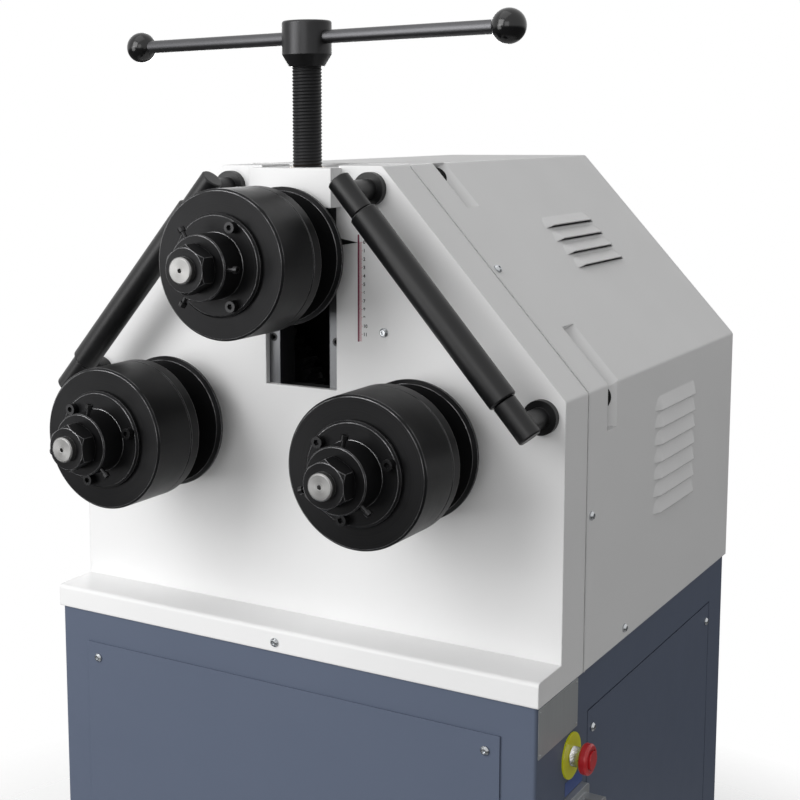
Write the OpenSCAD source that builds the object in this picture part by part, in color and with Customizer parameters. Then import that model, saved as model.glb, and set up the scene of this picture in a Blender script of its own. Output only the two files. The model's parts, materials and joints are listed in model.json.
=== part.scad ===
// Angle roll bender: three driven and idle roll stacks on a white gear head, a hand screw
// that lowers the top roll, two diagonal guide rollers, and a blue-grey sheet-steel cabinet.
// The frame has +Z up and +Y to the back; the origin is the middle of the base's floor face.

/* [Cabinet] */
// Width of the cabinet
cabinet_w = 684; // [640:1:720]
// Depth of the cabinet
cabinet_d = 698; // [670:1:730]
// Height of the cabinet
cabinet_h = 640; // [560:1:760]
// Sheet thickness of the cabinet walls
cabinet_wall = 3; // [2:0.5:5]
// Thickness of the plate that carries the head
cabinet_top_t = 8; // [5:0.5:12]
// Thickness of the screwed front panel
panel_t = 2; // [1:0.5:3]
// Diameter of the floor anchor holes
anchor_hole_d = 14; // [10:0.5:20]

/* [Head casing] */
// How far the head stands out over the cabinet at its sides, lip and back
overhang = 3; // [1:0.5:8]
// Width of the head's flat top
head_top_w = 226; // [200:1:260]
// Height of the vertical sides above the cabinet
shoulder_h = 332; // [320:1:350]
// Height of the flat top above the cabinet
head_h = 590; // [575:1:610]
// Depth of the front cover pan, back to the seam
cover_d = 66; // [60:1:80]
// How far the lip stands out in front of the cover
lip_d = 65; // [50:1:70]
// Height of the lip
lip_h = 29; // [20:1:40]
// Sheet thickness of the front cover
cover_wall = 2.5; // [1.5:0.5:4]
// Sheet thickness of the hood
hood_wall = 2; // [1:0.5:3]

/* [Rolls] */
// Distance of the lower roll axes from the head's sides
roll_inset = 170; // [160:1:180]
// Drop from the shoulder bend to the lower roll axes
lower_roll_drop = 66; // [57:1:80]
// Drop from the head's top to the top roll axis, fully raised
top_roll_drop = 107; // [100:1:120]
// Diameter of the working rings
roll_d = 172; // [160:1:176]
// Diameter of the back flange
flange_d = 166; // [150:1:176]
// Diameter of the groove's core
core_d = 90; // [76:1:110]
// Diameter of the clamping hub
hub_d = 118; // [100:1:130]
// Diameter of the hub's collar
collar_d = 75; // [60:1:84]
// Gap between the cover and the back flange
roll_standoff = 35; // [26:1:45]
// Thickness of the back flange
flange_t = 10; // [6:1:16]
// Width of the groove for the section's leg
groove_w = 46; // [30:1:60]
// Width of the rear working ring
rear_ring_w = 17; // [10:1:30]
// Width of the front working ring
front_ring_w = 64; // [50:1:80]
// Thickness of the hub's disc
hub_t = 7; // [5:1:12]
// Length of the hub's collar
collar_l = 35; // [24:1:44]
// Thickness of the shaft nut
nut_t = 24; // [16:1:30]
// Width of the shaft nut across its flats
nut_flats = 49; // [42:1:55]
// Length of the bare shaft end in front of the nut
shaft_end_l = 8; // [4:1:14]
// Diameter of the roll shafts
shaft_d = 40; // [36:1:44]
// Diameter of the shaft's threaded front end
thread_d = 30; // [24:1:33]
// Edge chamfer of the rings, hub and flange
edge_chamfer = 2.5; // [1:0.5:4]

/* [Frame and drive] */
// Thickness of the front frame plate
front_plate_t = 40; // [36:1:50]
// Thickness of the rear frame plate
rear_plate_t = 30; // [28:1:40]
// Room for the drive between the rear frame plate and the hood's back
drive_room = 309; // [280:1:330]
// Drop from the lower roll axes to the pinion axis
pinion_drop = 59; // [50:1:66]
// Teeth on each roll gear
gear_teeth = 48; // [44:1:50]
// Teeth on the pinion
pinion_teeth = 26; // [22:1:28]
// Face width of the roll gears
gear_w = 30; // [20:1:50]

/* [Top roll slide] */
// Width of the slot in the cover and front plate
slot_w = 108; // [104:1:120]
// Width of each slide rail
rail_w = 18; // [14:1:18]
// Downward travel of the top roll
travel = 102; // [60:1:102]
// Height of the carriage
carriage_h = 110; // [106:1:112]

/* [Hand screw] */
// Outer diameter of the lead screw
screw_d = 36; // [30:1:38]
// Diameter of the handle hub
handle_hub_d = 60; // [50:1:70]
// Height of the hub's cylinder
handle_hub_h = 40; // [30:1:50]
// Diameter of the handle bar
bar_d = 16; // [12:1:20]
// Distance between the ball centres
ball_span = 560; // [400:1:640]
// Diameter of the ball knobs
ball_d = 39; // [30:1:44]

/* [Guide rollers] */
// Diameter of the guide roller tubes
guide_roller_d = 34; // [30:1:40]
// Diameter of the stubs that hold the axle
guide_stub_d = 28; // [24:1:32]
// Diameter of the posts
guide_post_d = 24; // [18:1:26]
// Distance of the guide axis in front of the cover
guide_reach = 58; // [50:1:70]

/* [Controls] */
// Diameter of the emergency stop's legend disc
legend_d = 55; // [50:1:70]
// Diameter of the emergency stop's mushroom head
mushroom_d = 37; // [30:1:44]

/* [Hidden] */
$fn = 96;

// Colours
white_paint = "#f1f1ef";
blue_grey_paint = "#5d6475";
black_oxide = "#2b2b2d";
bright_steel = "#c9cacc";
machined_steel = "#8e9093";
bronze = "#a9793c";
satin_black = "#1d1d1f";
cast_grey = "#7b7f84";

// Fits and clearances
// Radial running clearance of a shaft in its bearing
running_fit = 0.05;
// Radial clearance of a piece that is keyed, pressed or screwed on
seat_fit = 0.02;
// Clearance between sliding flat faces
slide_fit = 0.3;
// Clearance round a piece that stands in an opening of the casing
casing_gap = 0.5;
// Overrun of every cut
cut = 1;

// The head follows the cabinet, and the roll axes follow the head
head_w = cabinet_w + 2 * overhang;
hood_d = cabinet_d + 2 * overhang - lip_d - cover_d;
roll_spacing = head_w - 2 * roll_inset;
lower_roll_h = shoulder_h - lower_roll_drop;
top_roll_h = head_h - top_roll_drop;

// Places along Y, with 0 at the cover's front face
hood_back = cover_d + hood_d;
front_plate_y = cover_wall + slide_fit;
front_plate_back = front_plate_y + front_plate_t;
rear_plate_back = hood_back - drive_room;
rear_plate_y = rear_plate_back - rear_plate_t;
cabinet_front = overhang - lip_d;
face_y = -cabinet_d / 2 - cabinet_front;

// Cabinet details
// Rounding of the cabinet's upright corners
cabinet_corner_r = 4;
// Thickness of the floor plate
floor_t = 6;
// Inset of the anchor holes from the cabinet's faces
anchor_inset = 34;
// Front panel: gaps to the cabinet's side, top and floor
front_panel_side_gap = 43;
front_panel_top_gap = 42;
panel_floor_gap = 60;
// Side panels: gaps to the cabinet's front, back and top
side_panel_front_gap = 155;
side_panel_back_gap = 65;
side_panel_top_gap = 57.5;
// Width by which a panel overlaps its opening
panel_lap = 40;
// Side panels stand flush in the walls, with a gap all round, on a frame behind the wall
side_panel_gap = 2.2;
side_panel_screw_inset = 14;
side_panel_screw_drop = 24;
side_frame_t = 3;
side_frame_lap = 11;
// Panel screws: insets from the panel's upright and level edges
panel_screw_inset = 18;
panel_screw_drop = 20;

// Casing screws
casing_screw_head_d = 11;
casing_screw_head_h = 4;
casing_screw_shank_d = 6;
casing_screw_socket = 4;
casing_screw_socket_depth = 2;
casing_screw_top_share = 0.6;
casing_screw_rim_share = 0.4;
// Cover screws beside the slot: from the middle and below the top; the lip's screw above the cabinet
cover_screw_x = 116;
cover_screw_drop = 196;
lip_screw_h = 12;
// Hood screws: behind the seam, and below the shoulder bend, up the slant or above the cabinet
hood_screw_seam = 16;
hood_side_screw_drop = 147;
hood_slant_screw_s = 182;
hood_foot_screw_seam = 137;
hood_foot_screw_h = 14;

// Rounding of the lip, and of the cover's and the hood's bends
lip_edge_r = 5;
bend_r = 5;
// Open seam between the cover and the hood
seam_gap = 1.5;

// Louvres: sizes, then how they are spread
louvre_l = 167;
louvre_h = 18;
louvre_out = 6;
louvre_skin = 1.5;
louvre_seam = 235;
side_louvre_count = 7;
side_louvre_drop = 196;
side_louvre_pitch = 22.6;
slant_louvre_count = 4;
slant_louvre_low = 160;
slant_louvre_pitch = 22.5;

// Scoops pressed into the hood's bends for the guide posts' nuts; their ramps run back along Y
scoop_seam = 63;
scoop_side_ramp = 31;
scoop_slant_ramp = 35;
scoop_depth = 24;
scoop_side_run = 55;
scoop_shoulder_run = 87;
scoop_top_run = 72;
scoop_hole_d = 20;

// Bearings of every shaft
bearing_wall = 11;
bearing_od = shaft_d + 2 * bearing_wall;
bearing_w = 22;
bearing_inset = 9;
front_bearing_y = front_plate_y + bearing_inset;
rear_bearing_y = rear_plate_y + (rear_plate_t - bearing_w) / 2;
// Raised shoulder of a shaft, between its flange and its bearing
shoulder_step = 7;
shoulder_d = shaft_d + 2 * shoulder_step;
bearing_cap_d = 104;
bearing_cap_t = 11;
bearing_cap_screw_d = 8;
bearing_cap_screw_inset = 10;
bearing_cap_screw_count = 4;

// Roll stack, each face counted forward from the cover
flange_back = -roll_standoff;
flange_front = flange_back - flange_t;
groove_front = flange_front - groove_w;
split_line = groove_front - rear_ring_w;
ring_front = split_line - front_ring_w;
hub_front = ring_front - hub_t;
collar_front = hub_front - collar_l;
nut_front = collar_front - nut_t;
shaft_front = nut_front - shaft_end_l;
thread_set_back = 2;
thread_chamfer = 1.5;
flange_chamfer = 4.5;
shaft_back = rear_bearing_y + bearing_w;
centre_hole_d = 5;
centre_hole_depth = 6;
// Clamping screws of the hub, on a circle inside its rim
hub_screw_count = 3;
hub_screw_edge = 8.5;
hub_screw_d = 8;
hub_screw_head_d = 13;
hub_screw_head_h = 9;
hub_screw_grip = 14;
hub_screw_socket = 6;
hub_screw_socket_depth = 4;
left_screw_angle = 16;
right_screw_angle = 20;
top_screw_angle = 60;
// Screws between them that stand out of the collar's round face
collar_screw_d = 5;
collar_screw_head_d = 8.5;
collar_screw_head_h = 5;
collar_screw_out = 13;
collar_screw_back = 6;
collar_screw_socket = 4;
collar_screw_socket_depth = 2.5;
collar_screw_top = collar_d / 2 + collar_screw_out;

// Gear drive
gear_centre = norm([roll_spacing / 2, pinion_drop]);
gear_module = 2 * gear_centre / (gear_teeth + pinion_teeth);
pressure_angle = 20;
// Backlash at the pitch circles and the tooth's height shares of the module
gear_backlash = 0.8;
addendum_share = 0.95;
dedendum_share = 1.25;
gear_set_back = 78;
gear_y = front_plate_back + gear_set_back;
gear_boss_l = 10;
gear_boss_wall = 12;
gear_boss_d = shaft_d + 2 * gear_boss_wall;
gear_web_t = 14;
gear_rim_t = 14;
pinion_h = lower_roll_h - pinion_drop;
pinion_overlap = 4;
pinion_shaft_reach = 70;

// Tie bars between the frame plates
tie_bar_d = 36;
// Low bars from the head's sides and the cabinet, high bars from the middle and the head's top
tie_bar_low_inset = 55;
tie_bar_low_h = 60;
tie_bar_high_x = 130;
tie_bar_high_drop = 110;

// Slide, carriage and bridge
slot_foot_gap = 10;
slot_head_gap = 3;
slot_bottom = top_roll_h - travel - carriage_h / 2 - slot_foot_gap;
slot_top = top_roll_h + carriage_h / 2 + slot_head_gap;
bridge_drop = 2.5;
// The bridge stands out in front of the cover and laps over the slot's edges there
bridge_out = 24;
bridge_lap = 4;
screw_y = 18;
bridge_back = 2 * screw_y + bridge_out;
lead_nut_wall = 4;
lead_nut_d = screw_d + 2 * lead_nut_wall;
rail_screw_d = 10;
rail_screw_h = 8;
rail_screw_socket = 5;
rail_screw_socket_depth = 4;
rail_screw_shares = [0.27, 0.73];
// Depth of the rails behind the cover's face, in the folded edge of its opening
rail_recess = 9;
neck_w = slot_w - 2 * rail_w - 2 * slide_fit;
neck_recess = 1;
carriage_w = 100;
carriage_block_d = 42;
carriage_tube_d = 84;
journal_d = 24;
journal_l = 18;
journal_gap = 0.3;

// Pointer that shows the top roll's height on the scale
pointer_t = 2;
pointer_h = 10;
pointer_tip_x = 83;
pointer_rise = 12;
pointer_root_x = 26;
pointer_stand = 4;

// Hand screw and handle
handle_clearance = 16;
handle_hub_bottom = head_h + travel + handle_clearance;
handle_cone_h = 14;
handle_cone_d = 43;
handle_hub_top = handle_hub_bottom + handle_cone_h + handle_hub_h;
bar_h = handle_hub_top - handle_hub_h / 2;
bar_turn = -7;
screw_in_hub = 22;
bar_in_ball_share = 0.25;
handle_edge = 3;

// Guide rollers: post places from the head's edges, then lengths along the axle
guide_top_inset = 14;
guide_top_drop = 27;
guide_low_inset = 28;
guide_low_drop = 19;
guide_collar_d = 40;
guide_collar_t = 9;
guide_stub_out = 17;
guide_stub_in = 32;
guide_end_gap = 0.5;
guide_edge = 1.5;
guide_axle_d = 14;
guide_post_grip = 30;
guide_top_x = head_top_w / 2 - guide_top_inset;
guide_top_z = head_h - guide_top_drop;
guide_low_x = head_w / 2 - guide_low_inset;
guide_low_z = shoulder_h - guide_low_drop;
guide_span = norm([guide_low_x - guide_top_x, guide_top_z - guide_low_z]);
guide_tilt = atan2(guide_low_x - guide_top_x, guide_top_z - guide_low_z);

// Emergency stop on the right wall
estop_back = 102;
estop_drop = 92.5;
legend_t = 2;
estop_neck_d = 22;
estop_neck_l = 14;
estop_thread_d = 22;
estop_box = 40;
estop_box_l = 44;
estop_stem_d = 12;
estop_stem_l = 24;
estop_press = 5;
estop_lap = 1;
estop_recess_d = 24.5;
estop_recess_depth = 7;
mushroom_l = 13;
mushroom_rim_l = 11;
mushroom_edge_r = 3.5;
mushroom_centre_d = 22;
mushroom_groove_w = 2;
mushroom_groove_depth = 1.5;

// Foot pedal socket below it
socket_back = 113;
socket_drop = 170;
socket_flange = 62;
socket_flange_t = 8;
socket_box = 46;
socket_box_l = 24;
socket_insert_d = 38;
socket_recess = 3;
socket_pin_depth = 14;
socket_pin_count = 5;
socket_pin_d = 5;
socket_pin_circle_share = 0.55;
socket_corner_r = 6;
socket_barrel_d = 38;
socket_barrel_l = 34;
socket_front = socket_flange_t + socket_box_l;
socket_slot_l = 13;
socket_slot_w = 4.5;
socket_slot_depth = 2;

// Gear motor behind the rear plate, and the control box in the cabinet
gearbox_w = 150;
gearbox_h = 190;
gearbox_d = 176;
gearbox_worm_rise = 63;
gearbox_cover_d = 130;
gearbox_cover_t = 8;
motor_d = 130;
motor_side_gap = 48;
motor_flange_d = 160;
motor_flange_t = 12;
motor_end = head_w / 2 - gearbox_w / 2 - motor_side_gap;
motor_fan_l = 40;
motor_fin_count = 20;
motor_fin_t = 3;
motor_fin_out = 6;
control_box_w = 300;
control_box_d = 140;
control_box_h = 340;
control_box_floor_gap = 150;
control_box_wall = 3;
control_box_lap = 4;

// Head outline from the cabinet up to the flat top, set in by a wall or a gap
slant_run = (head_w - head_top_w) / 2;
slant_rise = head_h - shoulder_h;
slant_l = norm([slant_run, slant_rise]);
slant_angle = atan2(slant_run, slant_rise);
slant_nx = slant_rise / slant_l;
slant_nz = slant_run / slant_l;
function shoulder_z(inset) = shoulder_h - inset * (1 - slant_nx) / slant_nz;
function top_x(inset) = head_w / 2 - (inset + (slant_rise - inset) * slant_nz) / slant_nx;
function half_outline(inset, foot) = [
    [head_w / 2 - inset, foot],
    [head_w / 2 - inset, shoulder_z(inset)],
    [top_x(inset), head_h - inset]
];
function flip(points) = [for (i = [len(points) - 1 : -1 : 0]) [-points[i].x, points[i].y]];
function outline(inset, foot) = concat(half_outline(inset, foot), flip(half_outline(inset, foot)));
// The same outline as folded sheet, with every bend rounded about one centre
function half_fold(inset, foot) =
    let (low = half_outline(bend_r, foot)[1], high = half_outline(bend_r, foot)[2],
         r = bend_r - inset, slant_n = [slant_nx, slant_nz])
    [[head_w / 2 - inset, foot], low + [r, 0], low + r * slant_n, high + r * slant_n, high + [0, r]];
module folded(inset, foot) {
    polygon(concat(half_fold(inset, foot), flip(half_fold(inset, foot))));
    for (bend = [1, 2]) both_sides() translate(half_outline(bend_r, foot)[bend]) circle(bend_r - inset);
}

// Involute tooth flanks: three radii from the root to the tip on each side of a tooth
function involute(a) = tan(a) * 180 / PI - a;
function flank_angle(teeth, r, rho) =
    let (base = r * cos(pressure_angle))
    90 / teeth - gear_backlash / 4 / r * 180 / PI + involute(pressure_angle)
    - involute(acos(min(1, base / rho)));
function tooth_radii(teeth) =
    let (r = gear_module * teeth / 2)
    [r - dedendum_share * gear_module, r, r + addendum_share * gear_module];
function gear_points(teeth, start) = [
    for (i = [0 : teeth - 1])
    let (radii = tooth_radii(teeth), r = radii[1], c = start + i * 360 / teeth)
    each concat(
        [for (k = [0 : 2]) radii[k] * [cos(c - flank_angle(teeth, r, radii[k])),
                                       sin(c - flank_angle(teeth, r, radii[k]))]],
        [for (k = [2 : -1 : 0]) radii[k] * [cos(c + flank_angle(teeth, r, radii[k])),
                                            sin(c + flank_angle(teeth, r, radii[k]))]])
];
// A gear tooth fills the pinion's gap on the line between the two axes
mesh_angle = atan2(pinion_drop, roll_spacing / 2);
mesh_phase = (mesh_angle - 90) * pinion_teeth / 360;
right_gear_start = mesh_angle + 180 + (mesh_phase - floor(mesh_phase) + 0.5) * 360 / gear_teeth;
left_gear_start = 180 - right_gear_start;

// Frames and extrusions
module head() translate([0, face_y, cabinet_h]) children();
module along_y(y0, y1) translate([0, y1, 0]) rotate([90, 0, 0]) linear_extrude(y1 - y0) children();
module along_x(x0, x1) translate([x0, 0, 0]) rotate([90, 0, 90]) linear_extrude(x1 - x0) children();
module along_z(z0, z1) translate([0, 0, z0]) linear_extrude(z1 - z0) children();
module disc(d, y0, y1) along_y(y0, y1) circle(d = d);
module span(low, high) translate(low) cube(high - low);
module both_sides() for (side = [0, 1]) mirror([side, 0, 0]) children();
module at_left() translate([-roll_spacing / 2, 0, lower_roll_h]) children();
module at_right() translate([roll_spacing / 2, 0, lower_roll_h]) children();
module at_top() translate([0, 0, top_roll_h]) children();

// Rectangle with true round corners
module rounded(size, r) {
    for (x = [r, size.x - r], y = [r, size.y - r]) translate([x, y]) circle(r);
    translate([r, 0]) square([size.x - 2 * r, size.y]);
    translate([0, r]) square([size.x, size.y - 2 * r]);
}

// Ring turned about Y, with its front and back outer edges chamfered
module turned_ring(d, bore, y0, y1, front, back) {
    translate([0, y1, 0]) rotate([90, 0, 0]) rotate_extrude() polygon([
        [bore / 2, 0],
        [d / 2 - back, 0],
        [d / 2, back],
        [d / 2, y1 - y0 - front],
        [d / 2 - front, y1 - y0],
        [bore / 2, y1 - y0]
    ]);
}

// Bar turned about Z, with both ends chamfered
module turned_bar(d, z0, z1, chamfer) rotate_extrude() polygon([
    [0, z0],
    [d / 2 - chamfer, z0],
    [d / 2, z0 + chamfer],
    [d / 2, z1 - chamfer],
    [d / 2 - chamfer, z1],
    [0, z1]
]);

// Hexagon measured across its flats
module hexagon(flats) circle(d = flats / cos(30), $fn = 6);

// Button-head screw that stands on the face z = 0, its shank down through a sheet
module button_screw(sheet) {
    rim = casing_screw_head_h * casing_screw_rim_share;
    difference() {
        union() {
            cylinder(d = casing_screw_head_d, h = rim);
            translate([0, 0, rim])
                cylinder(d1 = casing_screw_head_d, d2 = casing_screw_head_d * casing_screw_top_share,
                         h = casing_screw_head_h - rim);
            translate([0, 0, -sheet]) cylinder(d = casing_screw_shank_d, h = sheet + rim / 2);
        }
        translate([0, 0, casing_screw_head_h - casing_screw_socket_depth])
            linear_extrude(casing_screw_socket_depth + cut) hexagon(casing_screw_socket);
    }
}
module screw_hole(sheet) {
    translate([0, 0, -sheet - cut]) cylinder(d = casing_screw_shank_d + 2 * seat_fit, h = sheet + 2 * cut);
}

// Places of the casing screws: each child stands on the sheet with its axis outward
module at_front(x, y, z) translate([x, y, z]) rotate([90, 0, 0]) children();
module on_side(x, y, z) translate([x, y, z]) rotate([0, 90, 0]) children();
module on_slant(y, s) {
    translate([head_w / 2 - s * slant_nz, y, shoulder_h + s * slant_nx])
        rotate([0, 90 - slant_angle, 0]) children();
}
module cover_screw_places() {
    both_sides() at_front(cover_screw_x, 0, head_h - cover_screw_drop) children();
    at_front(0, -lip_d, lip_screw_h) children();
}
module hood_screw_places() both_sides() {
    on_side(head_w / 2, cover_d + hood_screw_seam, shoulder_h - hood_side_screw_drop) children();
    on_side(head_w / 2, cover_d + hood_foot_screw_seam, hood_foot_screw_h) children();
    on_slant(cover_d + hood_screw_seam, hood_slant_screw_s) children();
}
front_panel_x = cabinet_w / 2 - front_panel_side_gap;
side_panel_y0 = cabinet_front + side_panel_front_gap;
side_panel_y1 = cabinet_front + cabinet_d - side_panel_back_gap;
panel_bottom = panel_floor_gap - cabinet_h;
module front_panel_screw_places()
    for (x = [-1, 1], z = [-front_panel_top_gap - panel_screw_drop, panel_bottom + panel_screw_drop])
        at_front(x * (front_panel_x - panel_screw_inset), cabinet_front - panel_t, z) children();
module side_panel_screw_places() both_sides()
    for (y = [side_panel_y0 + side_panel_screw_inset, side_panel_y1 - side_panel_screw_inset],
         z = [-side_panel_top_gap - side_panel_screw_drop, panel_bottom + side_panel_screw_drop])
        on_side(cabinet_w / 2, y, z) children();
// Box between two X places over a side panel's outline, grown by some distance all round
module side_panel_span(x0, x1, grow) {
    span([x0, side_panel_y0 - grow, panel_bottom - grow],
         [x1, side_panel_y1 + grow, grow - side_panel_top_gap]);
}

// Cabinet of folded sheet with a thick top, a floor plate and openings behind the panels
module cabinet() color(blue_grey_paint) head() {
    difference() {
        translate([-cabinet_w / 2, cabinet_front, 0])
            along_z(-cabinet_h, 0) rounded([cabinet_w, cabinet_d], cabinet_corner_r);
        span([cabinet_wall - cabinet_w / 2, cabinet_front + cabinet_wall, floor_t - cabinet_h],
             [cabinet_w / 2 - cabinet_wall, cabinet_front + cabinet_d - cabinet_wall, -cabinet_top_t]);
        for (x = [-1, 1], y = [cabinet_front + anchor_inset, cabinet_front + cabinet_d - anchor_inset])
            translate([x * (cabinet_w / 2 - anchor_inset), y, -cabinet_h - cut])
                cylinder(d = anchor_hole_d, h = floor_t + 2 * cut);
        span([panel_lap - front_panel_x, cabinet_front - cut, panel_bottom + panel_lap],
             [front_panel_x - panel_lap, cabinet_front + cabinet_wall + cut,
              -front_panel_top_gap - panel_lap]);
        both_sides()
            side_panel_span(cabinet_w / 2 - cabinet_wall - cut, cabinet_w / 2 + cut, side_panel_gap);
        at_estop() disc_out(estop_thread_d + 2 * seat_fit, -cabinet_wall - cut, cut);
        at_socket() disc_out(socket_barrel_d + 2 * seat_fit, -cabinet_wall - cut, cut);
    }
    frame_x = cabinet_w / 2 - cabinet_wall;
    both_sides() difference() {
        side_panel_span(frame_x - side_frame_t, frame_x, side_frame_lap);
        side_panel_span(frame_x - side_frame_t - cut, frame_x + cut, -panel_lap);
    }
}

module front_panel() color(blue_grey_paint) head() {
    difference() {
        span([-front_panel_x, cabinet_front - panel_t, panel_bottom],
             [front_panel_x, cabinet_front, -front_panel_top_gap]);
        front_panel_screw_places() screw_hole(panel_t);
    }
}

module side_panels() color(blue_grey_paint) head() {
    difference() {
        both_sides() side_panel_span(cabinet_w / 2 - cabinet_wall, cabinet_w / 2, 0);
        side_panel_screw_places() screw_hole(cabinet_wall);
    }
}

// Holes that the front cover and the front plate share
module guide_post_places() both_sides() {
    translate([guide_top_x, 0, guide_top_z]) children();
    translate([guide_low_x, 0, guide_low_z]) children();
}

// Thick front plate: bearing seats, the open slot of the slide and the guide post holes
module front_plate() color(machined_steel) head() {
    difference() {
        along_y(front_plate_y, front_plate_back) polygon(outline(cover_wall + casing_gap, 0));
        span([-slot_w / 2, front_plate_y - cut, slot_bottom],
             [slot_w / 2, front_plate_back + cut, head_h + cut]);
        for (x = [-1, 1]) translate([x * roll_spacing / 2, 0, lower_roll_h]) {
            disc(bearing_od + 2 * seat_fit, front_plate_y - cut, front_bearing_y + bearing_w);
            disc(shoulder_d, front_plate_y, front_plate_back + cut);
        }
        translate([0, 0, pinion_h]) disc(bearing_od + 2 * seat_fit, front_bearing_y, front_plate_back + cut);
        guide_post_places() disc(guide_post_d + 2 * seat_fit, front_plate_y - cut,
                                 front_plate_y + guide_post_grip);
    }
}

// Rear plate with the other bearing seats and the slot of the carriage's tail
module rear_plate() color(machined_steel) head() {
    rear_slot = neck_w / 2 + slide_fit;
    difference() {
        along_y(rear_plate_y, rear_plate_back) polygon(outline(hood_wall + casing_gap, 0));
        span([-rear_slot, rear_plate_y - cut, slot_bottom], [rear_slot, rear_plate_back + cut, head_h + cut]);
        for (x = [-1, 1]) translate([x * roll_spacing / 2, 0, lower_roll_h])
            disc(bearing_od + 2 * seat_fit, rear_bearing_y, rear_plate_back + cut);
        for (x = [-1, 1]) translate([x * roll_spacing / 2, 0, lower_roll_h])
            disc(shoulder_d, rear_plate_y - cut, rear_bearing_y + cut);
        translate([0, 0, pinion_h]) {
            disc(bearing_od + 2 * seat_fit, rear_bearing_y, rear_plate_back + cut);
            disc(shoulder_d, rear_plate_y - cut, rear_bearing_y + cut);
        }
    }
}

module tie_bars() color(machined_steel) head() {
    both_sides() for (place = [[head_w / 2 - tie_bar_low_inset, tie_bar_low_h],
                               [tie_bar_high_x, head_h - tie_bar_high_drop]])
        translate([place.x, 0, place.y]) disc(tie_bar_d, front_plate_back, rear_plate_y);
}

// White front cover: a bent pan with a hollow lip in front of its foot
module lip_profile(inset) {
    r = lip_edge_r - inset;
    translate([inset - lip_d, 0]) square([lip_d - inset + cover_wall, lip_h - inset - r]);
    translate([inset - lip_d + r, 0]) square([lip_d - inset - r + cover_wall, lip_h - inset]);
    translate([inset - lip_d + r, lip_h - inset - r]) circle(r);
}
// Opening for the slide, set in from the slot in the front plate by some distance
module slide_opening(inset, y0, y1, top) {
    span([inset - slot_w / 2, y0, slot_bottom + inset], [slot_w / 2 - inset, y1, top]);
}
module front_cover() color(white_paint) head() {
    difference() {
        union() {
            difference() {
                union() {
                    along_y(0, cover_d) folded(0, 0);
                    along_x(-head_w / 2, head_w / 2) lip_profile(0);
                }
                along_y(cover_wall, cover_d + cut) folded(cover_wall, -cut);
            }
            slide_opening(casing_gap, 0, rail_recess - casing_gap, slot_top - casing_gap);
        }
        along_x(cover_wall - head_w / 2, head_w / 2 - cover_wall) {
            lip_profile(cover_wall);
            translate([cover_wall - lip_d, -cut]) square([lip_d, 2 * cut]);
        }
        span([cover_wall - head_w / 2, -cut, -cut], [head_w / 2 - cover_wall, cover_wall + cut,
                                                    lip_h - cover_wall]);
        slide_opening(casing_gap + cover_wall, -cut, rail_recess, slot_top);
        span([-slot_w / 2 - casing_gap, -cut, slot_top - casing_gap],
             [slot_w / 2 + casing_gap, rail_recess, head_h + cut]);
        span([-slot_w / 2 - casing_gap, -cut, head_h - cover_wall - cut],
             [slot_w / 2 + casing_gap, bridge_back + casing_gap, head_h + cut]);
        for (x = [-1, 1]) translate([x * roll_spacing / 2, 0, lower_roll_h])
            disc(bearing_cap_d + 2 * casing_gap, -cut, cover_wall + cut);
        guide_post_places() disc(guide_post_d + 2 * seat_fit, -cut, cover_wall + cut);
        cover_screw_places() screw_hole(cover_wall);
    }
}

// One louvre in profile, from its slit up the sheet and out of it, then the air below its skin
module louvre_skin_profile() polygon([
    [0, -hood_wall],
    [0, louvre_out],
    [louvre_h, 0],
    [louvre_h, -hood_wall]
]);
louvre_inner_share = 1 - louvre_skin / louvre_out;
module louvre_air_profile() polygon([
    [0, -hood_wall - cut],
    [0, louvre_out * louvre_inner_share],
    [louvre_h * louvre_inner_share, 0],
    [louvre_h * louvre_inner_share, -hood_wall - cut]
]);
module side_louvre_places() for (i = [0 : side_louvre_count - 1])
    translate([head_w / 2, cover_d + louvre_seam, shoulder_h - side_louvre_drop + i * side_louvre_pitch])
        children();
module slant_louvre_places() for (i = [0 : slant_louvre_count - 1])
    on_slant(cover_d + louvre_seam, slant_louvre_low + i * slant_louvre_pitch) rotate([0, -90, 0]) children();
// A louvre along Y from a profile: straight, with a quarter cone at each end
module louvre() {
    translate([0, louvre_l - louvre_h, 0]) rotate([90, 0, 0]) linear_extrude(louvre_l - 2 * louvre_h)
        rotate(90) mirror([0, 1]) children();
    translate([0, louvre_l / 2, 0]) for (end = [0, 1]) mirror([0, end, 0])
        translate([0, louvre_l / 2 - louvre_h, 0]) rotate([90, 0, 90]) rotate_extrude(angle = 90) children();
}

scoop_y = cover_d + scoop_seam;
module scoops(skin) both_sides() {
    translate([head_w / 2, scoop_y, shoulder_h]) scoop_wedge(-scoop_side_run, 0, scoop_side_ramp, skin);
    on_slant(scoop_y, 0) rotate([0, -90, 0]) scoop_wedge(0, scoop_shoulder_run, scoop_slant_ramp, skin);
    on_slant(scoop_y, slant_l) rotate([0, -90, 0]) scoop_wedge(-scoop_top_run, 0, scoop_slant_ramp, skin);
}
// Wedge along a face, pressed in from its front edge and rising to the sheet at its rear edge
module scoop_wedge(s0, s1, ramp, skin) translate([0, 0, s0 - skin]) linear_extrude(s1 - s0 + 2 * skin)
    polygon([[cut, -skin], [-scoop_depth - skin, -skin], [-scoop_depth - skin, skin],
             [0, ramp + skin], [cut, ramp + skin]]);

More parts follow.
